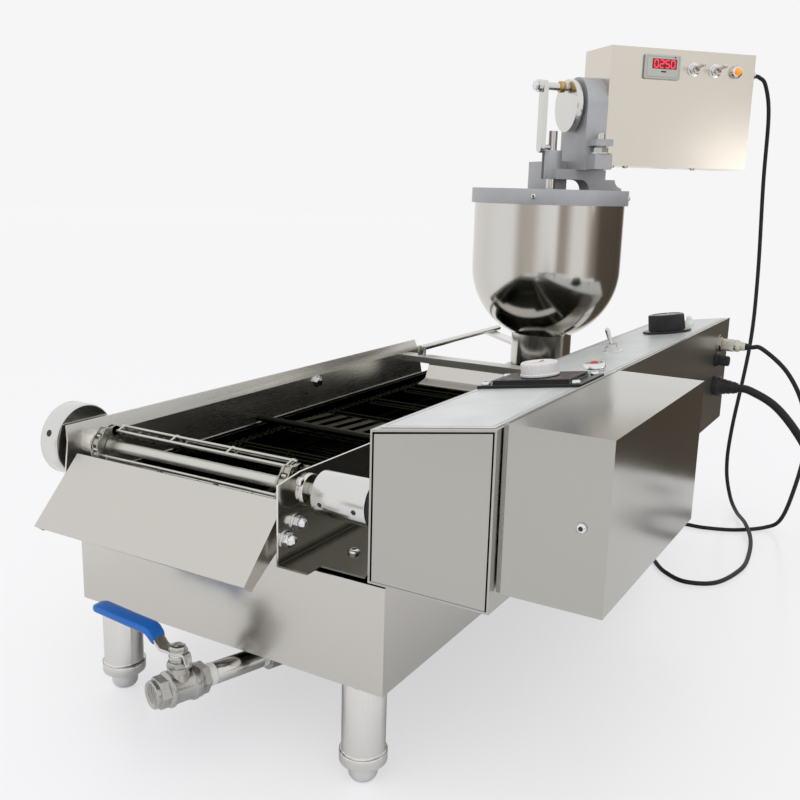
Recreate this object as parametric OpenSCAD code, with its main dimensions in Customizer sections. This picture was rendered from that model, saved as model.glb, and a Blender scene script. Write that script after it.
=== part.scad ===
// Automatic donut fryer: an oil tank in a sheet-steel body on bullet feet, a chain conveyor
// with wire flights, a dough hopper with a crank-driven depositor, and a long control box.
// Machine frame while drawing: x = 0 is the body's right face, y = 0 its front face and
// z = 0 the floor. The placed() module then moves the origin to the middle of the base.

/* [Body] */
// Width of the body
body_w = 380; // [340:1:440]
// Length of the body
body_len = 870; // [800:1:960]
// Height of the body's underside above the floor
body_z0 = 105; // [90:1:130]
// Height of the tank side's rim
rim_z = 240; // [225:1:255]
// Height of the deck under the control box
deck_z = 209; // [195:1:220]
// Thickness of the sheet steel
sheet = 2; // [1.5:0.1:2.5]
// Depth of the oil tank
tank_depth = 98; // [80:1:110]

/* [Guards and chute] */
// Height of the guards' fold line
guard_z = 282; // [270:1:295]
// Length of the body that the guards leave free at the rear
guard_gap = 135; // [110:1:220]
// Height of the strip above the left guard's fold line
lip_h = 16; // [10:1:22]
// Lean of that strip away from the tank
lip_lean = 4; // [2:1:5]
// Reach of the chute in front of the body
chute_reach = 60; // [48:1:75]
// Drop of the chute from its top edge
chute_drop = 62; // [45:1:75]

/* [Legs] */
// Diameter of the leg tubes
leg_d = 42; // [35:1:50]
// Diameter of the bullet feet
foot_d = 28; // [22:1:34]
// Length of thread that a foot can be screwed out
foot_travel = 20; // [10:1:25]

/* [Conveyor] */
// Chain pitch
chain_pitch = 12.7; // [12:0.1:13.4]
// Links on the slope behind the front sprockets
slope_links = 12; // [10:1:13]
// Least room between the rear shaft and the body's rear face
idler_room = 42; // [40:1:60]
// Diameter of the conveyor shafts
shaft_d = 12; // [10:1:14]
// Height of the drive shaft
drive_z = 276; // [270:1:282]
// Distance of the drive shaft behind the body's front face
drive_y = 20; // [16:1:24]
// Diameter of the hand knob
knob_d = 78; // [60:1:90]
// Diameter of the shaft coupling
coupling_d = 42; // [34:1:46]

/* [Control box] */
// Width of the control box
control_w = 116; // [105:1:125]
// Length of the control box
control_len = 846; // [780:1:900]
// Height of the control box's front at the tank side
control_h = 138; // [125:1:150]
// Rise of its top from the tank side to the outer side
control_rise = 17; // [8:1:25]
// Width of the motor cover
cover_w = 87; // [80:1:100]
// Length of the motor cover
cover_len = 276; // [240:1:300]
// Height of the motor cover
cover_h = 143; // [130:1:150]

/* [Hopper and head] */
// Diameter of the hopper
hopper_d = 238; // [210:1:245]
// Height of the hopper's straight wall
hopper_wall_h = 100; // [80:1:130]
// Diameter of the hopper's neck
neck_d = 98; // [85:1:105]
// Length of the neck
neck_len = 78; // [70:1:80]
// Height of the hopper's rim
hopper_rim_z = 528; // [510:1:540]
// Distance of the hopper's axis from the body's rear face
hopper_rear = 66; // [55:1:80]
// Angle by which the depositor head is turned in plan
head_turn = 46.7; // [30:0.1:60]
// Crank radius of the depositor
crank_r = 28; // [22:1:28]
// Width of the head box
head_w = 258; // [220:1:290]
// Height of the head box
head_h = 179; // [160:1:190]
// Depth of the head box
head_d = 85; // [78:1:95]

/* [Drain valve] */
// Outside diameter of the drain pipe
pipe_d = 21; // [18:0.5:24]
// Length of the valve
valve_len = 56; // [50:1:64]
// Length of the valve's lever
lever_len = 105; // [90:1:120]
// Angle by which the drain pipe is turned in plan
drain_turn = 18; // [0:1:25]

/* [Hidden] */
$fn = 48;
// Overrun of every cut, and the clearance between pieces that move past each other
over = 1;
clear = 0.3;
// Radial clearance of a shaft in its bearing
run = 0.05;

// Body, tank and what stands under them
deck_x = -100;
tank_gap = 2;
tank_x0 = -body_w + sheet + tank_gap;
tank_x1 = deck_x - tank_gap;
tank_y0 = sheet + tank_gap;
tank_y1 = body_len - sheet - tank_gap;
tank_z1 = rim_z - tank_gap;
tank_z0 = tank_z1 - tank_depth;
rest_w = 30;
rest_shares = [0.2, 0.5, 0.88];
drain_hole_d = 34;
leg_x_inset = 33;
leg_y_inset = 23;
leg_ring_d = 46;
leg_ring_h = 12;
leg_wall = 3;
leg_left = -body_w + leg_x_inset;
leg_right = -leg_x_inset;
leg_front = leg_y_inset;
leg_rear = body_len - leg_y_inset;
foot_h = 20;
foot_nose_r = 9;
stud_d = 12;
stud_len = 40;

// Guards, chute and drive bracket
guard_len = body_len - guard_gap;
guard_front = 17;
guard_front_slant = 9;
guard_rear_slant = 23;
guard_foot_z = 235;
guard_right_z = 286;
bearing_d = 26;
bearing_len = 14;
bearing_short = 4;
collar_face_d = 30;
collar_face_t = 4;
wall_x = deck_x + sheet;
bracket_x1 = wall_x + sheet;
bracket_front = 25;
bracket_len = 150;
bracket_z = 296;
bracket_nose_z = 291;
bracket_nose_len = 33;
bracket_lift = 6;
bracket_tab_x = -64;
bracket_foot_x = -18;
bracket_step_y = -4;
rail_inset = 49;
rail_y = guard_len - rail_inset;
rail_w = 26;
rail_drop = 10;
rail_z = guard_z - sheet;
landing_x_shares = [0.168, 0.77];
landing_foot = 22;
landing_toe = 46;
landing_foot_y = rail_y - landing_foot;
landing_toe_y = rail_y - landing_toe;
landing_foot_z = 246;
landing_toe_z = 240;
chute_inset = 8;
chute_gap = 3;
chute_x0 = -body_w + chute_inset;
chute_x1 = deck_x - chute_gap;
chute_top_y = -6;
chute_top_z = 270;
chute_wing = 10;
chute_wing_drop = 8;
chute_strap_shares = [0.193, 0.788];
chute_strap_z = 222;

// Conveyor
sprocket_teeth = 8;
sprocket_t = 5;
tooth_h = 2.5;
flank_share = 1.35;
roller_d = 8.5;
plate_t = 1.5;
plate_d = 11;
plate_waist = 8;
chain_gap = 7.8;
chain_w = chain_gap + 2 * plate_t;
chain_inset_left = 18;
chain_inset_right = 6.2;
chain_xs = [tank_x0 + chain_inset_left, tank_x1 - chain_inset_right - chain_w];
wire_d = 3;
wire_gap = 15;
flight_links = 8;
clip_w = 8;
clip_shares = [0.33, 0.67];
hub_d = 20;
pitch_r = chain_pitch / (2 * sin(180 / sprocket_teeth));
tip_r = pitch_r + tooth_h;
tooth_turn = 360 / sprocket_teeth;
dip = 2 * asin(chain_pitch / (4 * pitch_r));
bend_shares = [2 / 3, 1 / 3];
level_y = drive_y + pitch_r * sin(dip)
    + chain_pitch * (slope_links * cos(dip) + cos(dip * bend_shares[0]) + cos(dip * bend_shares[1]));
level_links = floor((body_len - idler_room - level_y) / chain_pitch);
return_bend_shares = [1 / 3, 1 / 2, 2 / 3];
function repeat(v, n) = [for (i = [1:n]) v];
function wrap(h) = [for (j = [0:sprocket_teeth / 2 - 1]) h - tooth_turn * (j + 1 / 2)];
function walk(start, h) = [for (i = 0, q = start; i < len(h);
    q = q + chain_pitch * [cos(h[i]), sin(h[i])], i = i + 1) q];
conveyor_turns = concat(repeat(-dip, slope_links), -dip * bend_shares, repeat(0, level_links), wrap(0),
    repeat(180, level_links), [for (s = return_bend_shares) 180 - dip * s], repeat(180 - dip, slope_links),
    wrap(180 - dip));
conveyor_pins = walk([drive_y, drive_z] + pitch_r * [sin(dip), cos(dip)], conveyor_turns);
// The pin that first meets the rear sprocket stands straight above its shaft
idler = conveyor_pins[slope_links + len(bend_shares) + level_links] - [0, pitch_r];
// No roller stands where a turning tooth passes, because the chain itself doesn't move
function met_by_teeth(q) = min(norm(q - [drive_y, drive_z]), norm(q - idler)) < tip_r + roller_d / 2 + clear;
paddle_y = 300;
paddle_z = 246;
paddle_d = 8;
paddle_len = 88;
paddle_x_shares = [0.168, 0.781];
paddle_slots = 7;
paddle_t = 2.5;
paddle_rest = -3;
trip_gap = 4;
trip_t = 5;
trip_len = 26;
trip_w = 12;
trip_turn = 127;
coupling_len = 57;
coupling_x0 = -79;
knob_gap = 8;
knob_w = 25;
knob_x1 = -body_w - knob_gap;
knob_x0 = knob_x1 - knob_w;
knob_dish_d = 56;
knob_dish = 3;
shaft_x1 = 118;

// Heater and thermostat bulb
heater_d = 11;
heater_r = 34;
heater_lift = 22;
heater_z = tank_z0 + heater_lift;
heater_x_shares = [0.2774, 0.7007];
heater_xs = [for (share = heater_x_shares) tank_x0 + share * (tank_x1 - tank_x0)];
heater_y0 = 180;
heater_rear = 80;
heater_y1 = body_len - heater_rear;
heater_leg_d = 7;
bulb_d = 8;
bulb_len = 120;
bulb_y = 420;
bulb_sink = 1;

// Control box
control_x0 = -17;
control_x1 = control_x0 + control_w;
control_y0 = -1;
control_y1 = control_y0 + control_len;
control_z0 = deck_z + sheet;
control_z1 = control_z0 + control_h;
control_z2 = control_z1 + control_rise;
top_slope = atan(control_rise / control_w);
top_w = control_w / cos(top_slope);
end_gap = 1.5;
end_t = 3;
panel_slot = 4;
shaft_hole_d = 24;
cover_x0 = control_x1 + panel_slot;
cover_x1 = cover_x0 + cover_w;
cover_y0 = 9;
cover_y1 = cover_y0 + cover_len;
cover_z0 = 227;
cover_z1 = cover_z0 + cover_h;
spacer_d = 16;
spacer_shares = [0.15, 0.85];
gear_w = 62;
gear_y0 = 12;
gear_len = 78;
gear_z0 = 240;
gear_h = 84;
motor_d = 66;
motor_len = 150;
motor_z = 292;
gear_pad = 20;
gear_pad_z = 290;

// Fittings on the control box
base_plate_w = 111;
base_plate_len = 68;
base_plate_t = 4;
dial_plate_w = 82;
dial_plate_len = 54;
dial_plate_t = 4;
dial_y = 230;
dial_d = 40;
dial_h = 15;
red_lamp_y = 300;
red_lamp_u_share = 0.78;
panel_lamp_d = 24;
panel_lamp_h = 10;
panel_lens_d = 10;
lamp_d = 20;
lamp_h = 12;
lens_d = 13;
lens_h = 3;
toggle_y = 466;
toggle_u_share = 0.48;
toggle_bush_d = 12;
toggle_bush_h = 11;
toggle_well_d = 8.6;
toggle_well = 9;
toggle_pivot = 5;
toggle_ball_d = 7;
toggle_len = 22;
toggle_root_d = 4;
toggle_tip_d = 6;
toggle_pin_d = 2;
toggle_tilt = 12;
speed_y = 671;
speed_u_share = 0.58;
speed_d = 50;
speed_skirt_d = 66;
speed_skirt_h = 5;
speed_h = 26;
speed_lobes = 18;
speed_lobe_d = 3;
pilot_y = 752;
pilot_u_share = 0.675;
pilot_d = 12;
pilot_h = 12;
spindle_d = 6;
spindle_len = 16;
spindle_hole_d = 9;
connector_y = 790;
connector_z = 332;
connector_len = 44.5;
connector_d = 17;
connector_ring_d = 21;
fuse_y = 771;
fuse_z = 311;
fuse_d = 15;
fuse_head_d = 19;
fuse_len = 20;
gland_y = 775;
gland_z = 272;
gland_d = 24;
gland_nut_d = 31;
gland_len = 34;

// Hopper, depositor and head
hopper_x = -body_w / 2;
hopper_y = body_len - hopper_rear;
hopper_wall = 2;
neck_wall = 3;
bowl_r = hopper_d / 2;
bowl_z = hopper_rim_z - hopper_wall_h;
bowl_foot_z = bowl_z - sqrt(bowl_r * bowl_r - neck_d * neck_d / 4);
neck_z0 = bowl_foot_z - neck_len;
ring_h = 23;
ring_lap = 5;
ring_seat = 8;
ring_z1 = hopper_rim_z + ring_h;
arch_h = 16;
bridge_z = ring_z1 + arch_h;
bridge_t = 16;
bridge_half = 17;
bridge_u1 = 88;
leg_u0 = 60;
leg_u1 = 118;
leg_lip = 2;
leg_flare_r = 16;
boss_d = 31;
boss_h = 60;
boss_z1 = ring_z1 + boss_h;
slot_w = 9;
back_leg_h = 45;
back_leg_u0 = 12;
back_leg_u1 = 36;
back_leg_v0 = 16;
rod_d = 14;
wrist_z = 616;
rod_tip = 25;
rod_top_z = wrist_z + rod_tip;
wrist_d = 8;
piston_h = 12;
piston_lift = 60;
piston_z = neck_z0 + piston_lift;
piston_r = neck_d / 2 - neck_wall - clear;
crank_z = 680;
disc_d = 80;
disc_u0 = 19;
disc_t = 10;
crank_shaft_d = 16;
crank_shaft_len = 24;
pin_d = 12;
pin_head_d = 19;
pin_head_t = 6;
link_u0 = -24;
link_t = 8;
link_w = 18;
gearcase_u0 = 35;
gearcase_half = 44;
clamp_u0 = 40;
clamp_u1 = 69;
clamp_v0 = -70;
clamp_v1 = -30;
clamp_t = 10;
clamp_z = 618;
clamp_bolt_d = 16;
clamp_block_z = 606;
head_u0 = 69.5;
head_z1 = 769;
head_z0 = head_z1 - head_h;
display_u_share = 0.221;
display_w = 62.5;
display_h = 36.5;
display_t = 5;
display_z = 723;
head_switch_u_shares = [0.565, 0.716];
head_lamp_u_share = 0.859;
head_switch_z = 741;
cord_relief_v = -19;
cord_relief_z = 741;
cord_relief_d = 12;
cord_relief_len = 16;
support_lift = 8;
support_z = neck_z0 + support_lift;
support_t = 6;
support_half = 50;
support_tab = 30;
collar_w = 8;
collar_h = 14;
head_vent_d = 24;
stay_inset = 30;
stay_x = -body_w + stay_inset;
stay_z = 292;
stay_d = 10;
stay_y0 = rail_y - rail_w / 4;
stay_run = 181;
stay_y1 = hopper_y + stay_run;
stay_post_d = 14;
arm_back = 151;
arm_y = hopper_y + arm_back;
arm_w = 24;
arm_t = 5;
arm_z = stay_z - stay_d / 2 - arm_t + over;
arm_run = [hopper_x - stay_x, hopper_y - arm_y];

// Drain
drain_x = -147;
drain_y = 60;
pipe_z = 88;
pipe_bore_d = 15;
elbow_d = 30;
nipple_len = 108;
valve_hex_d = 31;
valve_body_d = 33;
valve_start = 98;
valve_hex_len = 15;
ball_d = 20;
stem_d = 9;
stem_top_z = 130;
neck_boss_d = 20;
stem_nut_d = 15;
lever_t = 3;
lever_w = 14;
sleeve_w = 19;
sleeve_t = 7;
lever_flat = 18;
lever_lift = 15;
lever_slope = 15;
lever_rest = 180;

// Cords: the link cable's, the power cord's and the plug tail's own points, chosen by hand
link_cable_d = 6.5;
link_cable_sides = 8;
link_z = link_cable_d / 2;
link_route = [[143.8, 790, 332], [160, 790, 331], [196, 803, 298], [220, 830, 243], [224, 876, 171],
    [208, 932, 82], [190, 965, 22], [168, 962, 5], [127, 925, link_z], [80, 906, link_z],
    [38, 900, link_z], [11, 845, link_z], [16, 780, link_z], [54, 708, link_z], [80, 675, link_z],
    [112, 659, link_z], [150, 682, link_z], [170, 755, link_z], [168, 825, link_z], [158, 888, 7.5],
    [138, 945, 12], [112, 1008, 8], [92, 1044, 24], [79, 1058, 70], [79, 1066, 140], [91, 1086, 290],
    [90, 1096, 410], [84, 1088, 570], [83, 1076, 680], [76, 1060.5, 727], [67.4, 1049.4, 738.6], [60.1, 1041.7, 740.9]];
power_cord_d = 12;
power_cord_sides = 10;
power_z = power_cord_d / 2;
power_route = [[133.8, 775, 272], [152, 776, 270], [190, 781, 249], [228, 790, 203], [258, 803, 145],
    [286, 820, 88], [306, 838, 48], [312, 858, 25], [308, 876, 15], [304.1, 890.1, power_z]];
tail_route = [[345, 998.1, power_z], [376, 1001, power_z], [402, 1020, 9], [412, 1042, 15]];
coil_x = 345;
coil_y = 905;
coil_turn_r = 68.5;
coil_step = 12.3;
coil_lap = 0.4;
plug_w = 38;
plug_len = 46;
plug_t = 30;
plug_pin_d = 4.8;
plug_pin_len = 19;
plug_pin_gap = 19;
plug_neck_d = 16;
plug_neck_len = 22;
plug_x = 412;
plug_y = 1042;
plug_z = 15;
plug_turn = 70;
plug_round = 9;

// The whole object without its cords, for the origin
reach_x0 = knob_x0;
reach_x1 = cover_x1;
reach_y0 = drain_y - (valve_start + valve_len) * cos(drain_turn) - valve_hex_d / 2 * cos(30) * sin(drain_turn);
reach_y1 = hopper_y + (head_u0 + head_w) * sin(head_turn) + head_d / 2 * cos(head_turn);

// Shared shapes
module placed() {
    translate([-(reach_x0 + reach_x1) / 2, -(reach_y0 + reach_y1) / 2, 0])
        children();
}

module slab(x0, x1, y0, y1, z0, z1) {
    translate([x0, y0, z0])
        cube([x1 - x0, y1 - y0, z1 - z0]);
}

module rod_x(d, x0, x1, y, z) {
    translate([x0, y, z])
        rotate([0, 90, 0])
            cylinder(d = d, h = x1 - x0);
}

module rod_y(d, x, y0, y1, z) {
    translate([x, y0, z])
        rotate([-90, 0, 0])
            cylinder(d = d, h = y1 - y0);
}

module rod_z(d, x, y, z0, z1) {
    translate([x, y, z0])
        cylinder(d = d, h = z1 - z0);
}

// An outline in x and z, drawn out along y
module along_y(y0, y1) {
    translate([0, y1, 0])
        rotate([90, 0, 0])
            linear_extrude(y1 - y0)
                children();
}

// An outline in y and z, drawn out along x
module along_x(x0, x1) {
    translate([x0, 0, 0])
        rotate([90, 0, 90])
            linear_extrude(x1 - x0)
                children();
}

// A shell of sheet steel around a box, open at one or more sides where the cut runs out
module shell(x, y, z, open_low, open_high) {
    difference() {
        slab(x[0], x[1], y[0], y[1], z[0], z[1]);
        slab(x[0] + sheet - open_low[0], x[1] - sheet + open_high[0],
            y[0] + sheet - open_low[1], y[1] - sheet + open_high[1],
            z[0] + sheet - open_low[2], z[1] - sheet + open_high[2]);
    }
}

// The sloping top of the control box: u runs across it, y along it
module on_top(u_share, y) {
    translate([control_x0, y, control_z1])
        rotate([0, -top_slope, 0])
            translate([u_share * top_w, 0, 0])
                children();
}

// The depositor head's own frame: u points out along the head box
module in_head() {
    translate([hopper_x, hopper_y, 0])
        rotate([0, 0, head_turn])
            children();
}

function head_at(share) = head_u0 + share * head_w;

// A fitting that stands on the head box's front face
module on_head_face(u, z) {
    in_head()
        translate([u, -head_d / 2, z])
            rotate([90, 0, 0])
                children();
}

// Body
module case() {
    inner_deck_z = deck_z - sheet;
    floor_z = body_z0 + sheet;
    open_z = rim_z + over;
    color("lightgray")
        difference() {
            union() {
                difference() {
                    along_y(0, body_len)
                        polygon([[-body_w, body_z0], [0, body_z0], [0, deck_z], [wall_x, deck_z],
                            [wall_x, rim_z], [-body_w, rim_z]]);
                    along_y(sheet, body_len - sheet)
                        polygon([[-body_w + sheet, floor_z], [-sheet, floor_z], [-sheet, inner_deck_z],
                            [deck_x, inner_deck_z], [deck_x, open_z], [-body_w + sheet, open_z]]);
                }
                for (share = rest_shares)
                    difference() {
                        slab(tank_x0, tank_x1, share * body_len - rest_w / 2, share * body_len + rest_w / 2,
                            floor_z - sheet / 2, tank_z0);
                        slab(tank_x0 - over, tank_x1 + over, share * body_len - rest_w / 2 + sheet,
                            share * body_len + rest_w / 2 - sheet, floor_z, tank_z0 - sheet);
                    }
            }
            rod_z(drain_hole_d, drain_x, drain_y, body_z0 - over, floor_z + over);
        }
}

module tank() {
    color("silver")
        difference() {
            union() {
                shell([tank_x0, tank_x1], [tank_y0, tank_y1], [tank_z0, tank_z1], [0, 0, 0],
                    [0, 0, sheet + over]);
                rod_x(bearing_d, tank_x0 + sheet / 2, tank_x0 + bearing_len, idler[0], idler[1]);
                rod_x(bearing_d, tank_x1 - sheet - bearing_short, tank_x1 - sheet / 2, idler[0], idler[1]);
            }
            rod_x(shaft_d + 2 * run, tank_x0 + sheet, tank_x1 - sheet, idler[0], idler[1]);
            rod_z(pipe_bore_d, drain_x, drain_y, tank_z0 - over, tank_z0 + sheet + over);
        }
}

module leg(x, y) {
    color("silver")
        difference() {
            union() {
                rod_z(leg_d, x, y, foot_h, body_z0);
                rod_z(leg_ring_d, x, y, foot_h, foot_h + leg_ring_h);
            }
            rod_z(leg_d - 2 * leg_wall, x, y, foot_h + leg_ring_h, body_z0 + over);
            rod_z(stud_d + 2 * run, x, y, foot_h - over, foot_h + leg_ring_h + over);
        }
}

module foot(x, y) {
    flat_r = foot_d / 2 - foot_nose_r;
    top_h = foot_h - clear;
    color("gray")
        translate([x, y, 0]) {
            rotate_extrude()
                union() {
                    square([flat_r, top_h]);
                    translate([0, foot_nose_r])
                        square([foot_d / 2, top_h - foot_nose_r]);
                    intersection() {
                        translate([flat_r, foot_nose_r])
                            circle(foot_nose_r);
                        square([foot_d / 2, top_h]);
                    }
                }
            translate([0, 0, top_h - over])
                cylinder(d = stud_d, h = stud_len);
        }
}

module leg_front_left() { leg(leg_left, leg_front); }
module leg_front_right() { leg(leg_right, leg_front); }
module leg_rear_left() { leg(leg_left, leg_rear); }
module leg_rear_right() { leg(leg_right, leg_rear); }
module foot_front_left() { foot(leg_left, leg_front); }
module foot_front_right() { foot(leg_right, leg_front); }
module foot_rear_left() { foot(leg_left, leg_rear); }
module foot_rear_right() { foot(leg_right, leg_rear); }

// Guards, rail, chute
module left_guard() {
    outer_x = -body_w - sheet;
    tip_z = guard_z + lip_h;
    rear = guard_len + guard_front_slant;
    color("lightgray")
        difference() {
            union() {
                intersection() {
                    along_y(-guard_front, rear)
                        polygon([[outer_x, guard_foot_z], [-body_w, guard_foot_z], [-body_w, guard_z],
                            [-body_w - lip_lean, tip_z], [outer_x - lip_lean, tip_z], [outer_x, guard_z]]);
                    along_x(outer_x - lip_lean - over, -body_w + over)
                        polygon([[-guard_front, guard_foot_z], [rear, guard_foot_z],
                            [rear - guard_rear_slant, tip_z], [-guard_front + guard_front_slant, tip_z]]);
                }
                rod_x(bearing_d, -body_w - sheet / 2, -body_w + bearing_len, drive_y, drive_z);
            }
            rod_x(shaft_d + 2 * run, outer_x - over, -body_w + bearing_len + over, drive_y, drive_z);
            rod_x(paddle_d + 2 * run, outer_x - over, -body_w + over, paddle_y, paddle_z);
        }
}

module right_guard() {
    color("lightgray")
        difference() {
            slab(wall_x, bracket_x1, bracket_len, guard_len, deck_z, guard_right_z);
            rod_x(paddle_d + 2 * run, wall_x - over, bracket_x1 + over, paddle_y, paddle_z);
        }
}

module drive_bracket() {
    foot_z = deck_z + bracket_lift;
    color("lightgray")
        difference() {
            union() {
                along_x(wall_x, bracket_x1)
                    polygon([[-bracket_front, foot_z], [bracket_len, foot_z], [bracket_len, bracket_z],
                        [bracket_nose_len - bracket_front, bracket_z], [-bracket_front, bracket_nose_z]]);
                slab(bracket_x1 - sheet / 2, bracket_foot_x, bracket_step_y, bracket_len, foot_z, foot_z + sheet);
                slab(bracket_x1 - sheet / 2, bracket_tab_x, -bracket_front, 0, foot_z, foot_z + sheet);
                rod_x(collar_face_d, wall_x + sheet / 2, bracket_x1 + collar_face_t, drive_y, drive_z);
            }
            rod_x(shaft_d + 2 * run, wall_x - over, bracket_x1 + collar_face_t + over, drive_y, drive_z);
        }
}

module cross_rail() {
    color("lightgray") {
        slab(-body_w, wall_x, rail_y - rail_w / 2, rail_y + rail_w / 2, rail_z - sheet, rail_z);
        slab(-body_w, wall_x, rail_y - rail_w / 2, rail_y - rail_w / 2 + sheet, rail_z - rail_drop, rail_z);
    }
}

module landing_plate() {
    top_z = rail_z - sheet;
    knee_z = rail_z - rail_drop - sheet;
    hang_y = rail_y - rail_w / 2 + sheet;
    span = tank_x1 - tank_x0;
    color("silver")
        along_x(tank_x0 + landing_x_shares[0] * span, tank_x0 + landing_x_shares[1] * span)
            polygon([[hang_y, top_z], [hang_y, knee_z], [landing_foot_y, landing_foot_z + sheet],
                [landing_toe_y, landing_toe_z + sheet], [landing_toe_y, landing_toe_z],
                [landing_foot_y + sheet / 2, landing_foot_z], [hang_y + sheet, knee_z - sheet],
                [hang_y + sheet, top_z]]);
}

module chute() {
    toe_y = chute_top_y - chute_reach + sheet;
    toe_z = chute_top_z - chute_drop;
    span = chute_x1 - chute_x0;
    color("silver") {
        along_x(chute_x0, chute_x1)
            polygon([[chute_top_y, chute_top_z], [toe_y, toe_z], [toe_y + sheet, toe_z - sheet],
                [chute_top_y + sheet, chute_top_z - sheet]]);
        for (x = [chute_x0, chute_x1 - sheet])
            along_x(x, x + sheet)
                polygon([[chute_top_y, chute_top_z], [toe_y, toe_z], [toe_y + chute_wing, toe_z - chute_wing_drop],
                    [chute_top_y + sheet, guard_foot_z]]);
        along_x(chute_x0 + chute_strap_shares[0] * span, chute_x0 + chute_strap_shares[1] * span)
            polygon([[chute_top_y, chute_top_z], [-sheet, chute_strap_z], [0, chute_strap_z],
                [0, guard_foot_z], [chute_top_y + sheet, chute_top_z - sheet]]);
    }
}

// Conveyor
module chain_plates(pins, turns) {
    for (i = [0:len(pins) - 1])
        translate(pins[i]) {
            circle(d = plate_d);
            rotate(turns[i])
                translate([0, -plate_waist / 2])
                    square([chain_pitch, plate_waist]);
        }
}

module chain(x, pins, turns) {
    color("dimgray") {
        for (side = [0, chain_gap + plate_t])
            along_x(x + side, x + side + plate_t)
                chain_plates(pins, turns);
        for (q = pins)
            if (!met_by_teeth(q))
                rod_x(roller_d, x + plate_t / 2, x + chain_w - plate_t / 2, q[0], q[1]);
    }
}

module chain_left() { chain(chain_xs[0], conveyor_pins, conveyor_turns); }
module chain_right() { chain(chain_xs[1], conveyor_pins, conveyor_turns); }

// A sprocket in the middle of a chain, with a tooth space at the given angle
module sprocket(x, centre, angle) {
    mid_x = x + chain_w / 2;
    space_r = roller_d / 2 + clear;
    mouth = space_r + (tooth_h + over) * flank_share;
    rod_x(hub_d, mid_x - sprocket_t, mid_x + sprocket_t, centre[0], centre[1]);
    along_x(mid_x - sprocket_t / 2, mid_x + sprocket_t / 2)
        translate(centre)
            difference() {
                circle(tip_r);
                for (k = [1:sprocket_teeth])
                    rotate(angle + k * tooth_turn)
                        translate([pitch_r, 0]) {
                            circle(space_r);
                            polygon([[0, -space_r], [tooth_h + over, -mouth], [tooth_h + over, mouth], [0, space_r]]);
                        }
            }
}

module drive_shaft() {
    color("silver") {
        rod_x(shaft_d, knob_x0 + knob_dish + over, shaft_x1, drive_y, drive_z);
        for (x = chain_xs)
            sprocket(x, [drive_y, drive_z], 90 - dip);
    }
}

module idler_shaft() {
    color("silver") {
        rod_x(shaft_d, tank_x0 + sheet + clear, tank_x1 - sheet - clear, idler[0], idler[1]);
        for (x = chain_xs)
            sprocket(x, idler, 90);
    }
}

module turner_paddle() {
    span = tank_x1 - tank_x0;
    x0 = tank_x0 + paddle_x_shares[0] * span;
    x1 = tank_x0 + paddle_x_shares[1] * span;
    slot = (x1 - x0) / (2 * paddle_slots + 1);
    trip_x = bracket_x1 + trip_gap;
    color("silver") {
        rod_x(paddle_d, -body_w - sheet, trip_x + over, paddle_y, paddle_z);
        translate([0, paddle_y, paddle_z])
            rotate([paddle_rest, 0, 0])
                difference() {
                    slab(x0, x1, 0, paddle_len, -paddle_t / 2, paddle_t / 2);
                    for (k = [1:paddle_slots])
                        slab(x0 + (2 * k - 1) * slot, x0 + 2 * k * slot, 2 * paddle_d, paddle_len + over,
                            -paddle_t, paddle_t);
                }
        // The arm on its end, outside the guard, by which it is thrown over
        translate([trip_x, paddle_y, paddle_z])
            rotate([trip_turn, 0, 0])
                slab(0, trip_t, -trip_w / 2, trip_len, -trip_w / 2, trip_w / 2);
    }
}

module flights() {
    x0 = chain_xs[0] + chain_w;
    x1 = chain_xs[1];
    color("silver")
        for (i = [0:flight_links:len(conveyor_pins) - flight_links / 2]) {
            a = conveyor_pins[i];
            b = conveyor_pins[i + 1];
            rod_x(wire_d, x0, x1, a[0], a[1]);
            rod_x(wire_d, x0, x1, b[0], b[1]);
            for (share = clip_shares)
                translate([x0 + share * (x1 - x0), a[0], a[1]])
                    rotate([conveyor_turns[i], 0, 0])
                        slab(-clip_w / 2, clip_w / 2, 0, chain_pitch, -wire_d / 4, wire_d / 4);
        }
}

module heater() {
    color("gray") {
        for (x = heater_xs) {
            for (side = [-heater_r, heater_r]) {
                rod_y(heater_d, x + side, heater_y0, heater_y1, heater_z);
                rod_z(heater_leg_d, x + side, heater_y0 + 2 * heater_d, tank_z0 + sheet, heater_z);
                rod_z(heater_leg_d, x + side, heater_y1 - 2 * heater_d, tank_z0 + sheet, heater_z);
            }
            translate([x, heater_y1, heater_z])
                rotate_extrude(angle = 180)
                    translate([heater_r, 0])
                        circle(d = heater_d);
        }
        slab(heater_xs[0], heater_xs[1], heater_y0, heater_y0 + heater_d, heater_z - heater_d / 4,
            heater_z + heater_d / 4);
        for (x = heater_xs)
            slab(x - heater_r, x + heater_r, heater_y0, heater_y0 + heater_d, heater_z - heater_d / 4,
                heater_z + heater_d / 4);
        rod_y(bulb_d, heater_xs[0] + heater_r, bulb_y, bulb_y + bulb_len,
            heater_z + (heater_d + bulb_d) / 2 - bulb_sink);
    }
}

module coupling() {
    color("dimgray")
        difference() {
            rod_x(coupling_d, coupling_x0, coupling_x0 + coupling_len, drive_y, drive_z);
            rod_x(shaft_d, coupling_x0 - over, coupling_x0 + coupling_len + over, drive_y, drive_z);
        }
}

module hand_knob() {
    color("silver")
        difference() {
            rod_x(knob_d, knob_x0, knob_x1, drive_y, drive_z);
            rod_x(shaft_d, knob_x0 - over, knob_x1 + over, drive_y, drive_z);
            rod_x(knob_dish_d, knob_x0 - over, knob_x0 + knob_dish, drive_y, drive_z);
        }
}

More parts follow.
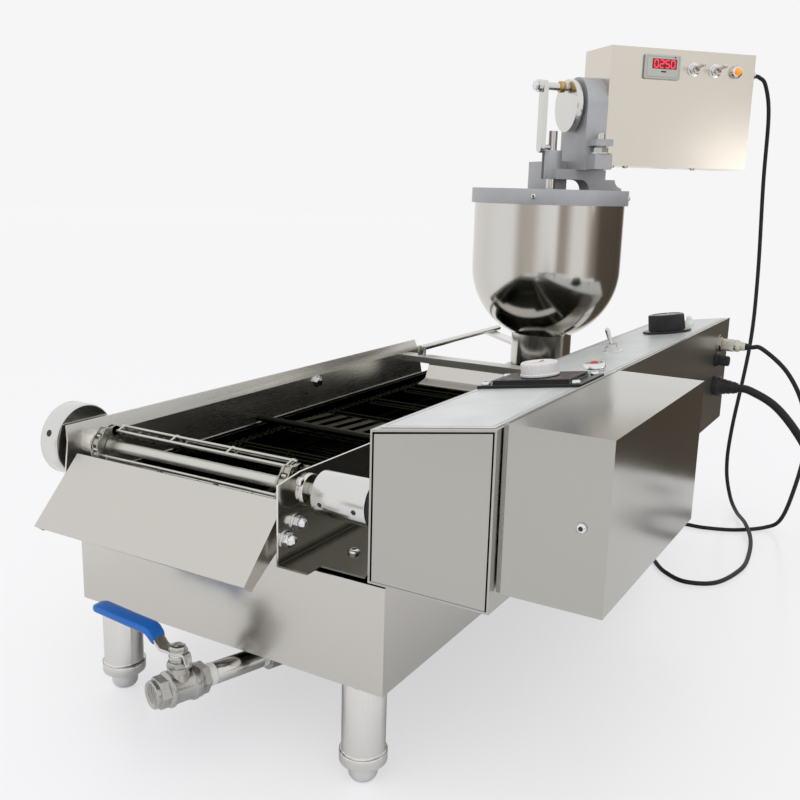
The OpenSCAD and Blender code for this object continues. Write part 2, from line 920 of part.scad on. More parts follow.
// Control box
module control_box() {
    in_z0 = control_z0 + sheet;
    color("lightgray")
        difference() {
            union() {
                difference() {
                    along_y(control_y0, control_y1)
                        polygon([[control_x0, control_z0], [control_x1, control_z0], [control_x1, control_z2],
                            [control_x0, control_z1]]);
                    along_y(control_y0 - over, control_y1 - sheet)
                        polygon([[control_x0 + sheet, in_z0], [control_x1 - sheet, in_z0],
                            [control_x1 - sheet, control_z2 - sheet], [control_x0 + sheet, control_z1 - sheet]]);
                }
                on_top(toggle_u_share, toggle_y)
                    translate([0, 0, -sheet / 2])
                        cylinder(d = toggle_bush_d, h = toggle_bush_h + sheet / 2);
            }
            on_top(toggle_u_share, toggle_y)
                translate([0, 0, toggle_bush_h - toggle_well])
                    cylinder(d = toggle_well_d, h = toggle_well + over);
            rod_x(shaft_hole_d, control_x0 - over, control_x1 + over, drive_y, drive_z);
            on_top(1 / 2, dial_y)
                translate([0, 0, -sheet - over])
                    cylinder(d = spindle_hole_d, h = sheet + 2 * over);
            on_top(speed_u_share, speed_y)
                translate([0, 0, -sheet - over])
                    cylinder(d = spindle_d + 2 * run, h = sheet + 2 * over);
        }
}

module control_end() {
    x0 = control_x0 + sheet + end_gap;
    x1 = control_x1 - sheet - end_gap;
    z0 = control_z0 + sheet;
    color("gainsboro")
        along_y(control_y0, control_y0 + end_t)
            polygon([[x0, z0], [x1, z0], [x1, control_z2 - sheet - end_gap],
                [x0, control_z1 - sheet - end_gap]]);
}

module motor_cover() {
    color("gainsboro") {
        shell([cover_x0, cover_x1], [cover_y0, cover_y1], [cover_z0, cover_z1], [sheet + over, 0, 0], [0, 0, 0]);
        for (share = spacer_shares)
            rod_x(spacer_d, control_x1, cover_x0 + over, cover_y0 + share * cover_len, cover_z0 + spacer_d / 2);
        for (share = spacer_shares)
            slab(cover_x0, cover_x0 + sheet, cover_y0 + share * cover_len - spacer_d,
                cover_y0 + share * cover_len + spacer_d, cover_z0 + over, cover_z0 + spacer_d);
    }
}

module gearmotor() {
    mid_x = cover_x0 + sheet + gear_w / 2;
    color("dimgray")
        difference() {
            union() {
                slab(cover_x0 + sheet, cover_x0 + sheet + gear_w, gear_y0, gear_y0 + gear_len, gear_z0,
                    gear_z0 + gear_h);
                rod_y(motor_d, mid_x, gear_y0 + gear_len - over, gear_y0 + gear_len + motor_len, motor_z);
                slab(control_x1, cover_x0 + sheet + over, gear_y0 + gear_pad, gear_y0 + gear_len, gear_pad_z,
                    gear_z0 + gear_h);
            }
            rod_x(shaft_d + 2 * run, cover_x0, shaft_x1 + over, drive_y, drive_z);
        }
}

// Fittings on the control box
module dial_plate() {
    color("black")
        on_top(1 / 2, dial_y)
            difference() {
                union() {
                    slab(-base_plate_w / 2, base_plate_w / 2, -base_plate_len / 2, base_plate_len / 2, 0, base_plate_t);
                    slab(-dial_plate_w / 2, dial_plate_w / 2, -dial_plate_len / 2, dial_plate_len / 2,
                        base_plate_t - over, base_plate_t + dial_plate_t);
                }
                translate([0, 0, -over])
                    cylinder(d = spindle_d + 2 * run, h = base_plate_t + dial_plate_t + 2 * over);
            }
}

module thermostat_dial() {
    face = base_plate_t + dial_plate_t;
    color("white")
        on_top(1 / 2, dial_y) {
            translate([0, 0, face + clear])
                cylinder(d = dial_d, h = dial_h);
            translate([0, 0, face + clear + over - spindle_len])
                cylinder(d = spindle_d, h = spindle_len);
        }
}

module lamp(d, h, lens, cap) {
    cylinder(d = d, h = h);
    cylinder(d = lens, h = h + cap);
}

module red_lamp() {
    color("red")
        on_top(red_lamp_u_share, red_lamp_y)
            lamp(panel_lamp_d, panel_lamp_h, panel_lens_d, lens_h);
}

module pilot_lamp() {
    color("white")
        on_top(pilot_u_share, pilot_y)
            lamp(pilot_d, pilot_h, pilot_d / 2, lens_h);
}

module toggle_lever() {
    translate([0, 0, toggle_bush_h - toggle_pivot])
        rotate([0, toggle_tilt, 0]) {
            sphere(d = toggle_ball_d);
            rotate([90, 0, 0])
                cylinder(d = toggle_pin_d, h = toggle_ball_d + over, center = true);
            cylinder(d1 = toggle_root_d, d2 = toggle_tip_d, h = toggle_len);
            translate([0, 0, toggle_len])
                sphere(d = toggle_tip_d);
        }
}

module panel_toggle() {
    color("silver")
        on_top(toggle_u_share, toggle_y)
            rotate(180)
                toggle_lever();
}

module speed_knob() {
    color("black")
        on_top(speed_u_share, speed_y) {
            translate([0, 0, clear]) {
                cylinder(d = speed_skirt_d, h = speed_skirt_h);
                difference() {
                    cylinder(d = speed_d, h = speed_h);
                    for (k = [1:speed_lobes])
                        rotate(k * 360 / speed_lobes)
                            translate([speed_d / 2, 0, speed_skirt_h])
                                cylinder(d = speed_lobe_d, h = speed_h);
                }
            }
            translate([0, 0, over - spindle_len])
                cylinder(d = spindle_d, h = spindle_len);
        }
}

module connector() {
    tip = control_x1 + connector_len;
    color("dimgray") {
        rod_x(connector_ring_d, control_x1, control_x1 + connector_len / 4, connector_y, connector_z);
        rod_x(connector_d, control_x1, tip - connector_len / 4, connector_y, connector_z);
        rod_x(connector_d * 2 / 3, control_x1, tip, connector_y, connector_z);
    }
}

module fuse_holder() {
    tip = control_x1 + fuse_len;
    color("black") {
        rod_x(fuse_head_d, control_x1, control_x1 + fuse_len / 4, fuse_y, fuse_z);
        rod_x(fuse_d, control_x1, tip, fuse_y, fuse_z);
    }
}

module cord_gland() {
    color("dimgray") {
        rod_x(gland_nut_d, control_x1, control_x1 + gland_len / 3, gland_y, gland_z);
        rod_x(gland_d, control_x1, control_x1 + gland_len, gland_y, gland_z);
    }
}

// Hopper and depositor
module bowl_outline(wall) {
    r = bowl_r - wall;
    neck_r = neck_d / 2 - (wall > 0 ? neck_wall : 0);
    translate([0, bowl_z])
        square([r, hopper_wall_h + (wall > 0 ? over : 0)]);
    intersection() {
        translate([0, bowl_z])
            circle(r);
        translate([0, bowl_z - r])
            square([r, r]);
    }
    translate([0, neck_z0 - (wall > 0 ? over : 0)])
        square([neck_r, bowl_z - neck_z0]);
}

module hopper() {
    color("lightgray")
        translate([hopper_x, hopper_y, 0])
            rotate_extrude()
                difference() {
                    bowl_outline(0);
                    bowl_outline(hopper_wall);
                }
}

module lid_casting() {
    ring_r = bowl_r + ring_lap;
    seat_r = bowl_r - ring_seat;
    gear_z1 = crank_z;
    color("silver")
        in_head()
            difference() {
                union() {
                    rod_z(2 * ring_r, 0, 0, hopper_rim_z, ring_z1);
                    rod_z(boss_d, 0, 0, bridge_z, boss_z1);
                    slab(0, bridge_u1, -bridge_half, bridge_half, bridge_z, bridge_z + bridge_t);
                    along_y(-bridge_half, bridge_half)
                        difference() {
                            translate([leg_u0 - leg_flare_r, ring_z1 - over])
                                square([leg_u1 - leg_u0 + leg_flare_r, arch_h + 2 * over]);
                            translate([leg_u0 - leg_flare_r, ring_z1])
                                circle(leg_flare_r);
                            translate([leg_u1 + over, ring_z1 + arch_h + 2 * over])
                                circle(arch_h - leg_lip);
                        }
                    slab(back_leg_u0, back_leg_u1, back_leg_v0, ring_r - ring_seat, ring_z1 - over,
                        ring_z1 + back_leg_h);
                    slab(back_leg_u0, back_leg_u1, 0, back_leg_v0 + over, bridge_z, bridge_z + bridge_t);
                    slab(gearcase_u0, head_u0, -gearcase_half, gearcase_half, bridge_z + bridge_t - over, gear_z1);
                    rod_x(2 * gearcase_half, gearcase_u0, head_u0, 0, crank_z);
                    slab(clamp_u0, clamp_u1, clamp_v0, -gearcase_half + over, bridge_z + bridge_t, clamp_block_z);
                    slab(clamp_u0, clamp_u1, clamp_v0, -gearcase_half + over, clamp_z, clamp_z + clamp_t);
                    rod_z(clamp_bolt_d, (clamp_u0 + clamp_u1) / 2, (clamp_v0 - gearcase_half) / 2,
                        clamp_block_z - over, clamp_z + over);
                }
                rod_z(2 * seat_r, 0, 0, hopper_rim_z - over, ring_z1);
                rod_z(rod_d + 2 * run, 0, 0, hopper_rim_z, boss_z1 + over);
                slab(-boss_d, 0, -slot_w / 2, slot_w / 2, ring_z1 - over, wrist_z + wrist_d);
                rod_x(crank_shaft_d + 2 * run, gearcase_u0 - over, gearcase_u0 + crank_shaft_len, 0, crank_z);
            }
}

module crank_disc() {
    pin_u0 = link_u0 - clear;
    color("gainsboro")
        in_head() {
            rod_x(disc_d, disc_u0, disc_u0 + disc_t, 0, crank_z);
            rod_x(crank_shaft_d, disc_u0 + over, gearcase_u0 + crank_shaft_len - over, 0, crank_z);
            rod_x(pin_d, pin_u0 - over, disc_u0 + over, 0, crank_z + crank_r);
            rod_x(pin_head_d, pin_u0 - pin_head_t, pin_u0, 0, crank_z + crank_r);
        }
}

module crank_link() {
    top_z = crank_z + crank_r;
    color("silver")
        in_head()
            difference() {
                union() {
                    slab(link_u0, link_u0 + link_t, -link_w / 2, link_w / 2, wrist_z, top_z);
                    rod_x(link_w, link_u0, link_u0 + link_t, 0, top_z);
                    rod_x(link_w, link_u0, link_u0 + link_t, 0, wrist_z);
                }
                rod_x(pin_d + 2 * run, link_u0 - over, link_u0 + link_t + over, 0, top_z);
            }
}

module plunger() {
    color("silver")
        in_head() {
            rod_z(rod_d, 0, 0, piston_z, rod_top_z);
            rod_z(2 * piston_r, 0, 0, piston_z, piston_z + piston_h);
            rod_x(wrist_d, link_u0 + link_t + clear, 0, 0, wrist_z);
        }
}

module head_box() {
    color("gainsboro") {
        in_head()
            difference() {
                shell([head_u0, head_u0 + head_w], [-head_d / 2, head_d / 2], [head_z0, head_z1],
                    [0, 0, 0], [0, 0, 0]);
                rod_z(head_vent_d, head_u0 + head_w / 2, 0, head_z0 - over, head_z0 + sheet + over);
            }
        in_head()
            rod_x(cord_relief_d, head_u0 + head_w - over, head_u0 + head_w + cord_relief_len, cord_relief_v,
                cord_relief_z);
        for (share = head_switch_u_shares)
            on_head_face(head_at(share), head_switch_z)
                difference() {
                    translate([0, 0, -sheet / 2])
                        cylinder(d = toggle_bush_d, h = toggle_bush_h + sheet / 2);
                    translate([0, 0, toggle_bush_h - toggle_well])
                        cylinder(d = toggle_well_d, h = toggle_well + over);
                }
    }
}

module head_toggle_left() {
    color("silver")
        on_head_face(head_at(head_switch_u_shares[0]), head_switch_z)
            rotate(90)
                toggle_lever();
}

module head_toggle_right() {
    color("silver")
        on_head_face(head_at(head_switch_u_shares[1]), head_switch_z)
            rotate(90)
                toggle_lever();
}

module head_lamp() {
    color("orange")
        on_head_face(head_at(head_lamp_u_share), head_switch_z)
            lamp(lamp_d, lamp_h / 2, lens_d, lens_h + lamp_h / 2);
}

module display() {
    color("black")
        in_head()
            slab(head_at(display_u_share), head_at(display_u_share) + display_w, -head_d / 2 - display_t,
                -head_d / 2, display_z, display_z + display_h);
}

module hopper_support() {
    color("silver")
        difference() {
            union() {
                slab(hopper_x, control_x0, hopper_y - support_half, hopper_y + support_half - support_tab,
                    support_z, support_z + support_t);
                slab(control_x0 - sheet, control_x0, hopper_y - support_half, hopper_y + support_half - support_tab,
                    support_z, support_z + support_tab);
                rod_z(neck_d + 2 * collar_w, hopper_x, hopper_y, support_z, support_z + collar_h);
            }
            rod_z(neck_d + 2 * clear, hopper_x, hopper_y, support_z - over, support_z + collar_h + over);
        }
}

// The rod from the rear rail, with an arm that ends against the hopper's neck
module hopper_stay() {
    color("silver")
        difference() {
            union() {
                rod_y(stay_d, stay_x, stay_y0, stay_y1, stay_z);
                rod_z(stay_post_d, stay_x, rail_y, rail_z, stay_z + stay_d / 4);
                translate([stay_x, arm_y, arm_z])
                    rotate(atan2(arm_run[1], arm_run[0]))
                        slab(-arm_w / 2, norm(arm_run), -arm_w / 2, arm_w / 2, 0, arm_t);
            }
            rod_z(neck_d + 2 * clear, hopper_x, hopper_y, arm_z - over, arm_z + arm_t + over);
        }
}

// Drain
module at_drain() {
    translate([drain_x, drain_y, pipe_z])
        rotate([0, 0, -90 - drain_turn])
            children();
}

module drain_pipe() {
    color("darkgoldenrod")
        difference() {
            union() {
                rod_z(pipe_d, drain_x, drain_y, pipe_z, tank_z0);
                rod_z(elbow_d, drain_x, drain_y, pipe_z, body_z0);
                translate([drain_x, drain_y, pipe_z])
                    sphere(d = elbow_d + over);
                at_drain() {
                    rod_x(pipe_d, 0, nipple_len, 0, 0);
                    rod_x(elbow_d, 0, elbow_d, 0, 0);
                }
            }
            rod_z(pipe_bore_d - over, drain_x, drain_y, pipe_z, tank_z0 + over);
            at_drain()
                rod_x(pipe_bore_d, -pipe_bore_d / 2, nipple_len + over, 0, 0);
        }
}

module valve_body() {
    end = valve_start + valve_len;
    mid = valve_start + valve_len / 2;
    seat_z = stem_top_z - pipe_z - stem_d - lever_t;
    color("darkgoldenrod")
        at_drain()
            difference() {
                union() {
                    rod_x(valve_body_d, valve_start + valve_hex_len / 2, end - valve_hex_len / 2, 0, 0);
                    for (x = [valve_start, end - valve_hex_len])
                        translate([x, 0, 0])
                            rotate([0, 90, 0])
                                cylinder(d = valve_hex_d, h = valve_hex_len, $fn = 6);
                    rod_z(neck_boss_d, mid, 0, 0, seat_z);
                }
                rod_x(pipe_d, valve_start - over, nipple_len, 0, 0);
                rod_x(pipe_bore_d, valve_start, end + over, 0, 0);
                translate([mid, 0, 0])
                    sphere(d = ball_d + 2 * clear);
                rod_z(stem_d + 2 * run, mid, 0, 0, seat_z + over);
            }
}

module valve_lever() {
    mid = valve_start + valve_len / 2;
    bar_z = stem_top_z - pipe_z - stem_d;
    bar_top = bar_z + lever_lift;
    bend = lever_flat + lever_slope;
    color("royalblue") {
        at_drain()
            difference() {
                union() {
                    translate([mid, 0, 0])
                        sphere(d = ball_d);
                    rod_z(stem_d, mid, 0, 0, stem_top_z - pipe_z - lever_t);
                }
                rod_x(pipe_bore_d, mid - ball_d, mid + ball_d, 0, 0);
            }
        at_drain()
            translate([mid, 0, bar_z])
                rotate(lever_rest + drain_turn - 90 - 180) {
                    translate([0, 0, lever_t - over])
                        cylinder(d = stem_nut_d, h = stem_d - lever_t + over, $fn = 6);
                    along_y(-lever_w / 2, lever_w / 2)
                        polygon([[-lever_w / 2, 0], [lever_flat, 0], [bend, lever_lift], [lever_len, lever_lift],
                            [lever_len, lever_lift + lever_t], [bend - lever_t / 2, lever_lift + lever_t],
                            [lever_flat - lever_t / 2, lever_t], [-lever_w / 2, lever_t]]);
                    slab(bend, lever_len, -sleeve_w / 2, sleeve_w / 2, lever_lift + (lever_t - sleeve_t) / 2,
                        lever_lift + (lever_t + sleeve_t) / 2);
                }
    }
}

// Cords
function unit(v) = v / norm(v);
function between(p, i) = i == 0 || i > len(p) - 3 ? (p[i] + p[i + 1]) / 2
    : (9 * (p[i] + p[i + 1]) - p[i - 1] - p[i + 2]) / 16;
function smooth(p) = [for (i = [0:len(p) - 1]) each i < len(p) - 1 ? [p[i], between(p, i)] : [p[i]]];
function heading(p, i) = unit(p[min(i + 1, len(p) - 1)] - p[max(i - 1, 0)]);
function square_to(n, t) = unit(n - (n * t) * t);
function normals(t) = [for (i = 0, n = square_to([0, 0, 1], t[0]); i < len(t);
    n = square_to(n, t[min(i + 1, len(t) - 1)]), i = i + 1) n];

// A round cord along a route, as one polyhedron
module cord(route, d, sides) {
    p = smooth(route);
    t = [for (i = [0:len(p) - 1]) heading(p, i)];
    n = normals(t);
    points = [for (i = [0:len(p) - 1]) for (j = [0:sides - 1])
        p[i] + d / 2 * (cos(j * 360 / sides) * n[i] + sin(j * 360 / sides) * cross(t[i], n[i]))];
    walls = [for (i = [0:len(p) - 2]) for (j = [0:sides - 1]) let (k = (j + 1) % sides, a = i * sides, b = a + sides)
        each [[a + j, b + j, b + k], [a + j, b + k, a + k]]];
    first = [for (j = [0:sides - 1]) j];
    last = [for (j = [sides - 1:-1:0]) (len(p) - 1) * sides + j];
    polyhedron(points, concat([first], walls, [last]));
}

module link_cable() {
    color("silver")
        cord(link_route, link_cable_d, link_cable_sides);
}

module power_cord() {
    color("dimgray")
        cord(power_route, power_cord_d, power_cord_sides);
}

module power_coil() {
    color("dimgray")
        translate([coil_x, coil_y, power_z + coil_lap / 2])
            rotate_extrude()
                for (step = [-coil_step, 0, coil_step])
                    translate([coil_turn_r + step, 0])
                        circle(d = power_cord_d + coil_lap);
}

module power_plug() {
    color("dimgray") {
        cord(tail_route, power_cord_d, power_cord_sides);
        translate([plug_x, plug_y, plug_z])
            rotate(plug_turn) {
                rod_x(plug_neck_d, 0, plug_neck_len + over, 0, 0);
                slab(plug_neck_len, plug_neck_len + plug_len, -plug_w / 2, plug_w / 2, -plug_t / 2, plug_t / 2);
                for (y = [-plug_pin_gap / 2, plug_pin_gap / 2])
                    rod_x(plug_pin_d, plug_neck_len + plug_len - over, plug_neck_len + plug_len + plug_pin_len, y, 0);
            }
    }
}

placed() case();
placed() tank();
placed() leg_front_left();
placed() leg_front_right();
placed() leg_rear_left();
placed() leg_rear_right();
placed() foot_front_left();
placed() foot_front_right();
placed() foot_rear_left();
placed() foot_rear_right();
placed() left_guard();
placed() right_guard();
placed() drive_bracket();
placed() cross_rail();
placed() landing_plate();
placed() chute();
placed() drive_shaft();
placed() coupling();
placed() hand_knob();
placed() idler_shaft();
placed() chain_left();
placed() chain_right();
placed() flights();
placed() turner_paddle();
placed() heater();
placed() control_box();
placed() control_end();
placed() motor_cover();
placed() gearmotor();
placed() dial_plate();
placed() thermostat_dial();
placed() red_lamp();
placed() panel_toggle();
placed() speed_knob();
placed() pilot_lamp();
placed() connector();
placed() fuse_holder();
placed() cord_gland();
placed() hopper();
placed() lid_casting();
placed() hopper_support();
placed() hopper_stay();
placed() crank_disc();
placed() crank_link();
placed() plunger();
placed() head_box();
placed() display();
placed() head_toggle_left();
placed() head_toggle_right();
placed() head_lamp();
placed() drain_pipe();
placed() valve_body();
placed() valve_lever();
placed() link_cable();
placed() power_cord();
placed() power_coil();
placed() power_plug();
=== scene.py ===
# %% [markdown]
# # A small automatic donut fryer
# The machine is a sheet-steel oil tank on bullet feet. A chain conveyor carries the donuts, a dough
# hopper with a crank-driven plunger drops them in, and a long control box stands along one side.
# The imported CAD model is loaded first: its nodes are the true shapes, and everything made here is
# dressed onto them in the same frame, in metres.

import bpy
import numpy as np
from mathutils import Matrix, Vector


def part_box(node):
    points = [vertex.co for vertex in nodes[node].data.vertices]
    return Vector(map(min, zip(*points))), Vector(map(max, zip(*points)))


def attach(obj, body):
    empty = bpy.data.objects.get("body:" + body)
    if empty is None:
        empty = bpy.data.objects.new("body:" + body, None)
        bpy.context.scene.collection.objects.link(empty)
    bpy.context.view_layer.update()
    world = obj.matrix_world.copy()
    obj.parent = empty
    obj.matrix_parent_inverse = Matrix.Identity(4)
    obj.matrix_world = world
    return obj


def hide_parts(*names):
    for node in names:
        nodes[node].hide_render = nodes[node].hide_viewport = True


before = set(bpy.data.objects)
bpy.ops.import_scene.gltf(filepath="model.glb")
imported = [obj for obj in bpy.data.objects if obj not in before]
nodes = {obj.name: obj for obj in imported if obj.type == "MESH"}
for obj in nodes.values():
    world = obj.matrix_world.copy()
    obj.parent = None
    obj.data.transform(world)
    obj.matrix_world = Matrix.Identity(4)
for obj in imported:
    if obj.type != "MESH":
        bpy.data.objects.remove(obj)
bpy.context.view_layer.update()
MM = 0.001
# The machine frame that the sizes below are given in has x = 0 at the body's right face, y = 0 at its
# front face and z = 0 on the floor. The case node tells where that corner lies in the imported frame.
case_low, case_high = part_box("case")
ORIGIN = np.array([case_high[0], case_low[1], 0.0])


def place(points):
    """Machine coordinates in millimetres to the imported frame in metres."""
    return np.asarray(points, float) * MM + ORIGIN


def add(name, data):
    """A new object with this data, in the scene."""
    made = bpy.data.objects.new(name, data)
    bpy.context.scene.collection.objects.link(made)
    return made


print("nodes", len(nodes), "origin", ORIGIN)

# %% [markdown]
# ## Camera
# The photograph is taken from the front right, a little above the hopper's rim. Points on the body's
# edges were picked in it, and a camera was fitted to them. That gives the lens, the place, the tilt and
# the small roll, so the camera is set from numbers and not by eye.

# %% Camera at the photograph's angle
PHOTO_PX = 800
FOCAL_PX = 941.46
CAMERA_MM = (388.9, -649.7, 547.2)
right = np.array([0.8609, 0.5081, 0.0255])
up = np.array([-0.1332, 0.1767, 0.9752])
camera_data = bpy.data.cameras.new("camera")
camera_data.sensor_width = 36.0
camera_data.lens = FOCAL_PX * camera_data.sensor_width / PHOTO_PX
camera_data.clip_end = 50.0
camera = add("camera", camera_data)
right /= np.linalg.norm(right)
up -= right * (up @ right)
up /= np.linalg.norm(up)
turn = np.column_stack([right, up, np.cross(right, up)])
camera.matrix_world = Matrix.Translation(place(CAMERA_MM)) @ Matrix(turn.tolist()).to_4x4()
bpy.context.scene.camera = camera
print("lens", round(camera_data.lens, 2), "mm at", camera.location)

# %% [markdown]
# ## Shader expressions
# A node tree is easier to read as arithmetic. The class below wraps one output socket, and an operator
# on it adds the Math node that does the same thing, so `1 - mask * 0.4` is a chain of nodes.


# %% A socket that takes part in sums
class Value:
    """One output socket of a node tree, with Python's operators turned into Math nodes."""

    def __init__(self, tree, socket):
        self.tree, self.socket = tree, socket

    def node(self, kind, settings=None, output=0, **inputs):
        """Adds a node of any kind: settings go first, then values or links by socket name or number."""
        made = self.tree.nodes.new(kind)
        for key, value in (settings or {}).items():
            if key == "stops":
                ramp = made.color_ramp
                while len(ramp.elements) < len(value):
                    ramp.elements.new(1.0)
                for element, (position, level) in zip(ramp.elements, value):
                    element.position = position
                    element.color = (level, level, level, 1.0)
            else:
                setattr(made, key, value)
        for key, value in inputs.items():
            name = key.replace("_", " ")
            socket = made.inputs[int(key[1:])] if key[0] == "i" and key[1:].isdigit() else made.inputs[name]
            if isinstance(value, Value):
                self.tree.links.new(value.socket, socket)
            else:
                socket.default_value = value
        return Value(self.tree, made.outputs[output])

    def math(self, operation, other):
        """Any Math node of this value and another one, or a number."""
        return self.node("ShaderNodeMath", {"operation": operation}, i0=self, i1=other)

    def __add__(self, other):
        return self.math("ADD", other)

    def __sub__(self, other):
        return self.math("SUBTRACT", other)

    def __mul__(self, other):
        return self.math("MULTIPLY", other)

    def __truediv__(self, other):
        return self.math("DIVIDE", other)

    def __rsub__(self, other):
        return self.node("ShaderNodeMath", {"operation": "SUBTRACT"}, i0=other, i1=self)

    __radd__ = __add__
    __rmul__ = __mul__

    def clamp(self):
        """This value, held between 0 and 1."""
        return self.node("ShaderNodeMath", {"operation": "ADD", "use_clamp": True}, i0=self, i1=0.0)

    def mix(self, low, high):
        """Colour between low and high, with this value as the factor."""
        return self.node("ShaderNodeMix", {"data_type": "RGBA"}, output=2, i0=self, i6=low, i7=high)

    def noise(self, scale, detail, **more):
        """Noise over this vector."""
        return self.node("ShaderNodeTexNoise", None, Vector=self, Scale=scale, Detail=detail, **more)

    def axis(self, number):
        """One coordinate of this vector: 0 x, 1 y, 2 z."""
        return self.node("ShaderNodeSeparateXYZ", None, output=number, Vector=self)


def finish_of(name, base, roughness, metallic=0.0):
    """A new material with one Principled shader; returns the material, its shader and a start value."""
    material = bpy.data.materials.new(name)
    material.use_nodes = True
    tree = material.node_tree
    shader = tree.nodes["Principled BSDF"]
    shader.inputs["Base Color"].default_value = (*base, 1.0)
    shader.inputs["Roughness"].default_value = roughness
    shader.inputs["Metallic"].default_value = metallic
    coordinates = tree.nodes.new("ShaderNodeTexCoord")
    return material, shader, Value(tree, coordinates.outputs["Object"])


def shade(base, factor):
    """A colour made darker or paler by a factor, with full alpha."""
    return tuple(min(1.0, c * factor) for c in base) + (1.0,)


def feed(shader, **links):
    """Links values to the shader's sockets; height goes through a Bump node with its strength and depth."""
    for key, value in links.items():
        if key == "height":
            amount, strength, depth = value
            value = amount.node("ShaderNodeBump", None, Height=amount, Strength=strength, Distance=depth)
            key = "Normal"
        value.tree.links.new(value.socket, shader.inputs[key.replace("_", " ")])


# %% [markdown]
# ## Metals
# Most of the machine is stainless sheet with a fine brushed grain. The grain is noise that is stretched
# along one axis: it is many times finer across the brushing than along it. It moves the roughness most,
# the colour a little and the surface hardly at all, which is how brushed steel catches light.


# %% Brushed and bright steel
def grain(where, along, fine=1500.0, stretch=90.0):
    """Noise stretched along one axis (0 x, 1 y, 2 z): fine across it and long along it."""
    scale = [fine, fine, fine]
    scale[along] = fine / stretch
    spread = where.node("ShaderNodeMapping", None, Vector=where, Scale=tuple(scale))
    return spread.noise(1.0, 3.0, Roughness=0.6)


def painted_dark_mask(where, *ramps):
    """Mask of painted shade, with ragged edges: the product of ramps, each from 0 to 1 over a span of one of
    the object's axes and given as (axis, start, span)."""
    spots = where.noise(120.0, 3.0)
    mask = 1.0
    for axis, start, span in ramps:
        along = where.axis(axis)
        mask = ((along - start) / span + (spots - 0.5) * 0.5).clamp() * mask
    return mask


def brushed(name, base, along, roughness=0.3, depth=0.00002, cloud=0.12, wave=0.0, painted_dark=None):
    """Brushed sheet: grain along one axis, with broad faint clouds from handling. The wave, in metres, is
    how far a thin sheet bulges between its folds, which bends what it mirrors. The last argument is the
    colour of painted shade or of a painted dark reflection on the steel, and the ramps of the mask for that
    place."""
    material, shader, where = finish_of(name, base, roughness, 1.0)
    lines = grain(where, along)
    broad = where.noise(9.0, 2.0)
    tone = (lines - 0.5) * 0.1 + (broad - 0.5) * cloud + 0.5
    colour = tone.clamp().mix(shade(base, 0.86), shade(base, 1.12))
    # Painted shade or a painted dark reflection, mixed into the colour where the mask is.
    if painted_dark:
        colour = painted_dark_mask(where, *painted_dark[1:]).mix(colour, (*painted_dark[0], 1.0))
    feed(shader, Base_Color=colour)
    feed(shader, Roughness=(lines * 0.07 + broad * 0.08 + (roughness - 0.075)).clamp())
    bulge = where.noise(5.0, 0.0)
    feed(shader, height=(lines + bulge * (wave / depth), 0.35, depth))
    return material


SHEET = (0.605, 0.585, 0.55)
sheet_x = brushed("sheet steel brushed across", SHEET, 0)
sheet_y = brushed("sheet steel brushed along", SHEET, 1)
panel_y = brushed("panel steel", (0.48, 0.472, 0.44), 1, 0.3)
cover_y = brushed("motor cover steel", (0.45, 0.442, 0.41), 1, 0.14, wave=0.002)
# The head box's steel is a paler, warmer copy of the sheet steel: a painted warm reflection.
head_steel = brushed("head steel", (0.67, 0.625, 0.56), 0, 0.22)
leg_steel = brushed("leg tube steel", (0.72, 0.705, 0.68), 2, 0.14)
# The tank's steel is nearly black: painted shade inside the tank.
tank_y = brushed("oiled tank steel", (0.030, 0.030, 0.020), 1, 0.22)
# The bracket's steel is paler than the sheet: a painted reflection of something bright. Below 226 mm it is
# darker: a painted reflection of the dark gap under it.
BRACKET_DARK_REFLECTION = ((0.16, 0.155, 0.13), (2, 0.226, -0.006))
bracket_steel = brushed("bracket steel", (0.74, 0.725, 0.69), 2, 0.16, painted_dark=BRACKET_DARK_REFLECTION)
lip_steel = brushed("left wall steel", (0.71, 0.695, 0.66), 1, 0.28)
# Painted shade darkens the inside of the case: its mask starts in the middle of the sheet, on all four walls.
SKIN, RAMP = 0.001, 0.0004
inside = [(axis, float(case_low[axis]) + SKIN, RAMP) for axis in (0, 1)]
inside += [(axis, float(case_high[axis]) - SKIN, -RAMP) for axis in (0, 1)]
case_steel = brushed("case steel", SHEET, 2, 0.24, wave=0.0012, painted_dark=((0.030, 0.030, 0.020), *inside))
bright = brushed("bright drawn steel", (0.66, 0.65, 0.63), 0, 0.2)
chrome = brushed("chrome", (0.74, 0.74, 0.745), 0, 0.14, 0.000003, 0.04)
nickel = brushed("nickel plate", (0.53, 0.51, 0.45), 0, 0.2, 0.000003, 0.04)
print("materials so far", len(bpy.data.materials))

# %% [markdown]
# ## Castings, chain and plastics
# Cast aluminium is dull, with a pebbled skin. The chain is plated steel, with painted shade on it inside
# the tank. The plastics differ mostly in gloss, so one function makes them, with a faint moulded texture.


# %% Other finishes
def pebbled(name, base, roughness, metallic, scale=400.0, depth=0.0003):
    """A cast skin: small round bumps and a slow change of tone."""
    material, shader, where = finish_of(name, base, roughness, metallic)
    bumps = where.noise(scale, 4.0, Roughness=0.55)
    broad = where.noise(25.0, 3.0)
    feed(shader, Base_Color=(broad * 0.7 + bumps * 0.3).mix(shade(base, 0.78), shade(base, 1.18)))
    feed(shader, Roughness=(bumps * 0.2 + (roughness - 0.1)).clamp())
    feed(shader, height=(bumps, 0.5, depth))
    return material


def shaded(name, unshaded, dark, roughness):
    """Steel in its own colour where it leaves the tank in front, with painted shade of the tank behind that.
    The edge tint keeps the shaded part dark at a low angle too."""
    material, shader, where = finish_of(name, unshaded, roughness, 1.0)
    shader.inputs["Specular Tint"].default_value = (0.6, 0.6, 0.55, 1.0)
    spots = where.noise(120.0, 3.0)
    mask = painted_dark_mask(where, (1, float(ORIGIN[1] + 0.05), 0.11))
    feed(shader, Base_Color=mask.mix((*unshaded, 1.0), (*dark, 1.0)))
    feed(shader, Roughness=(spots * 0.24 + (roughness - 0.1)).clamp())
    return material


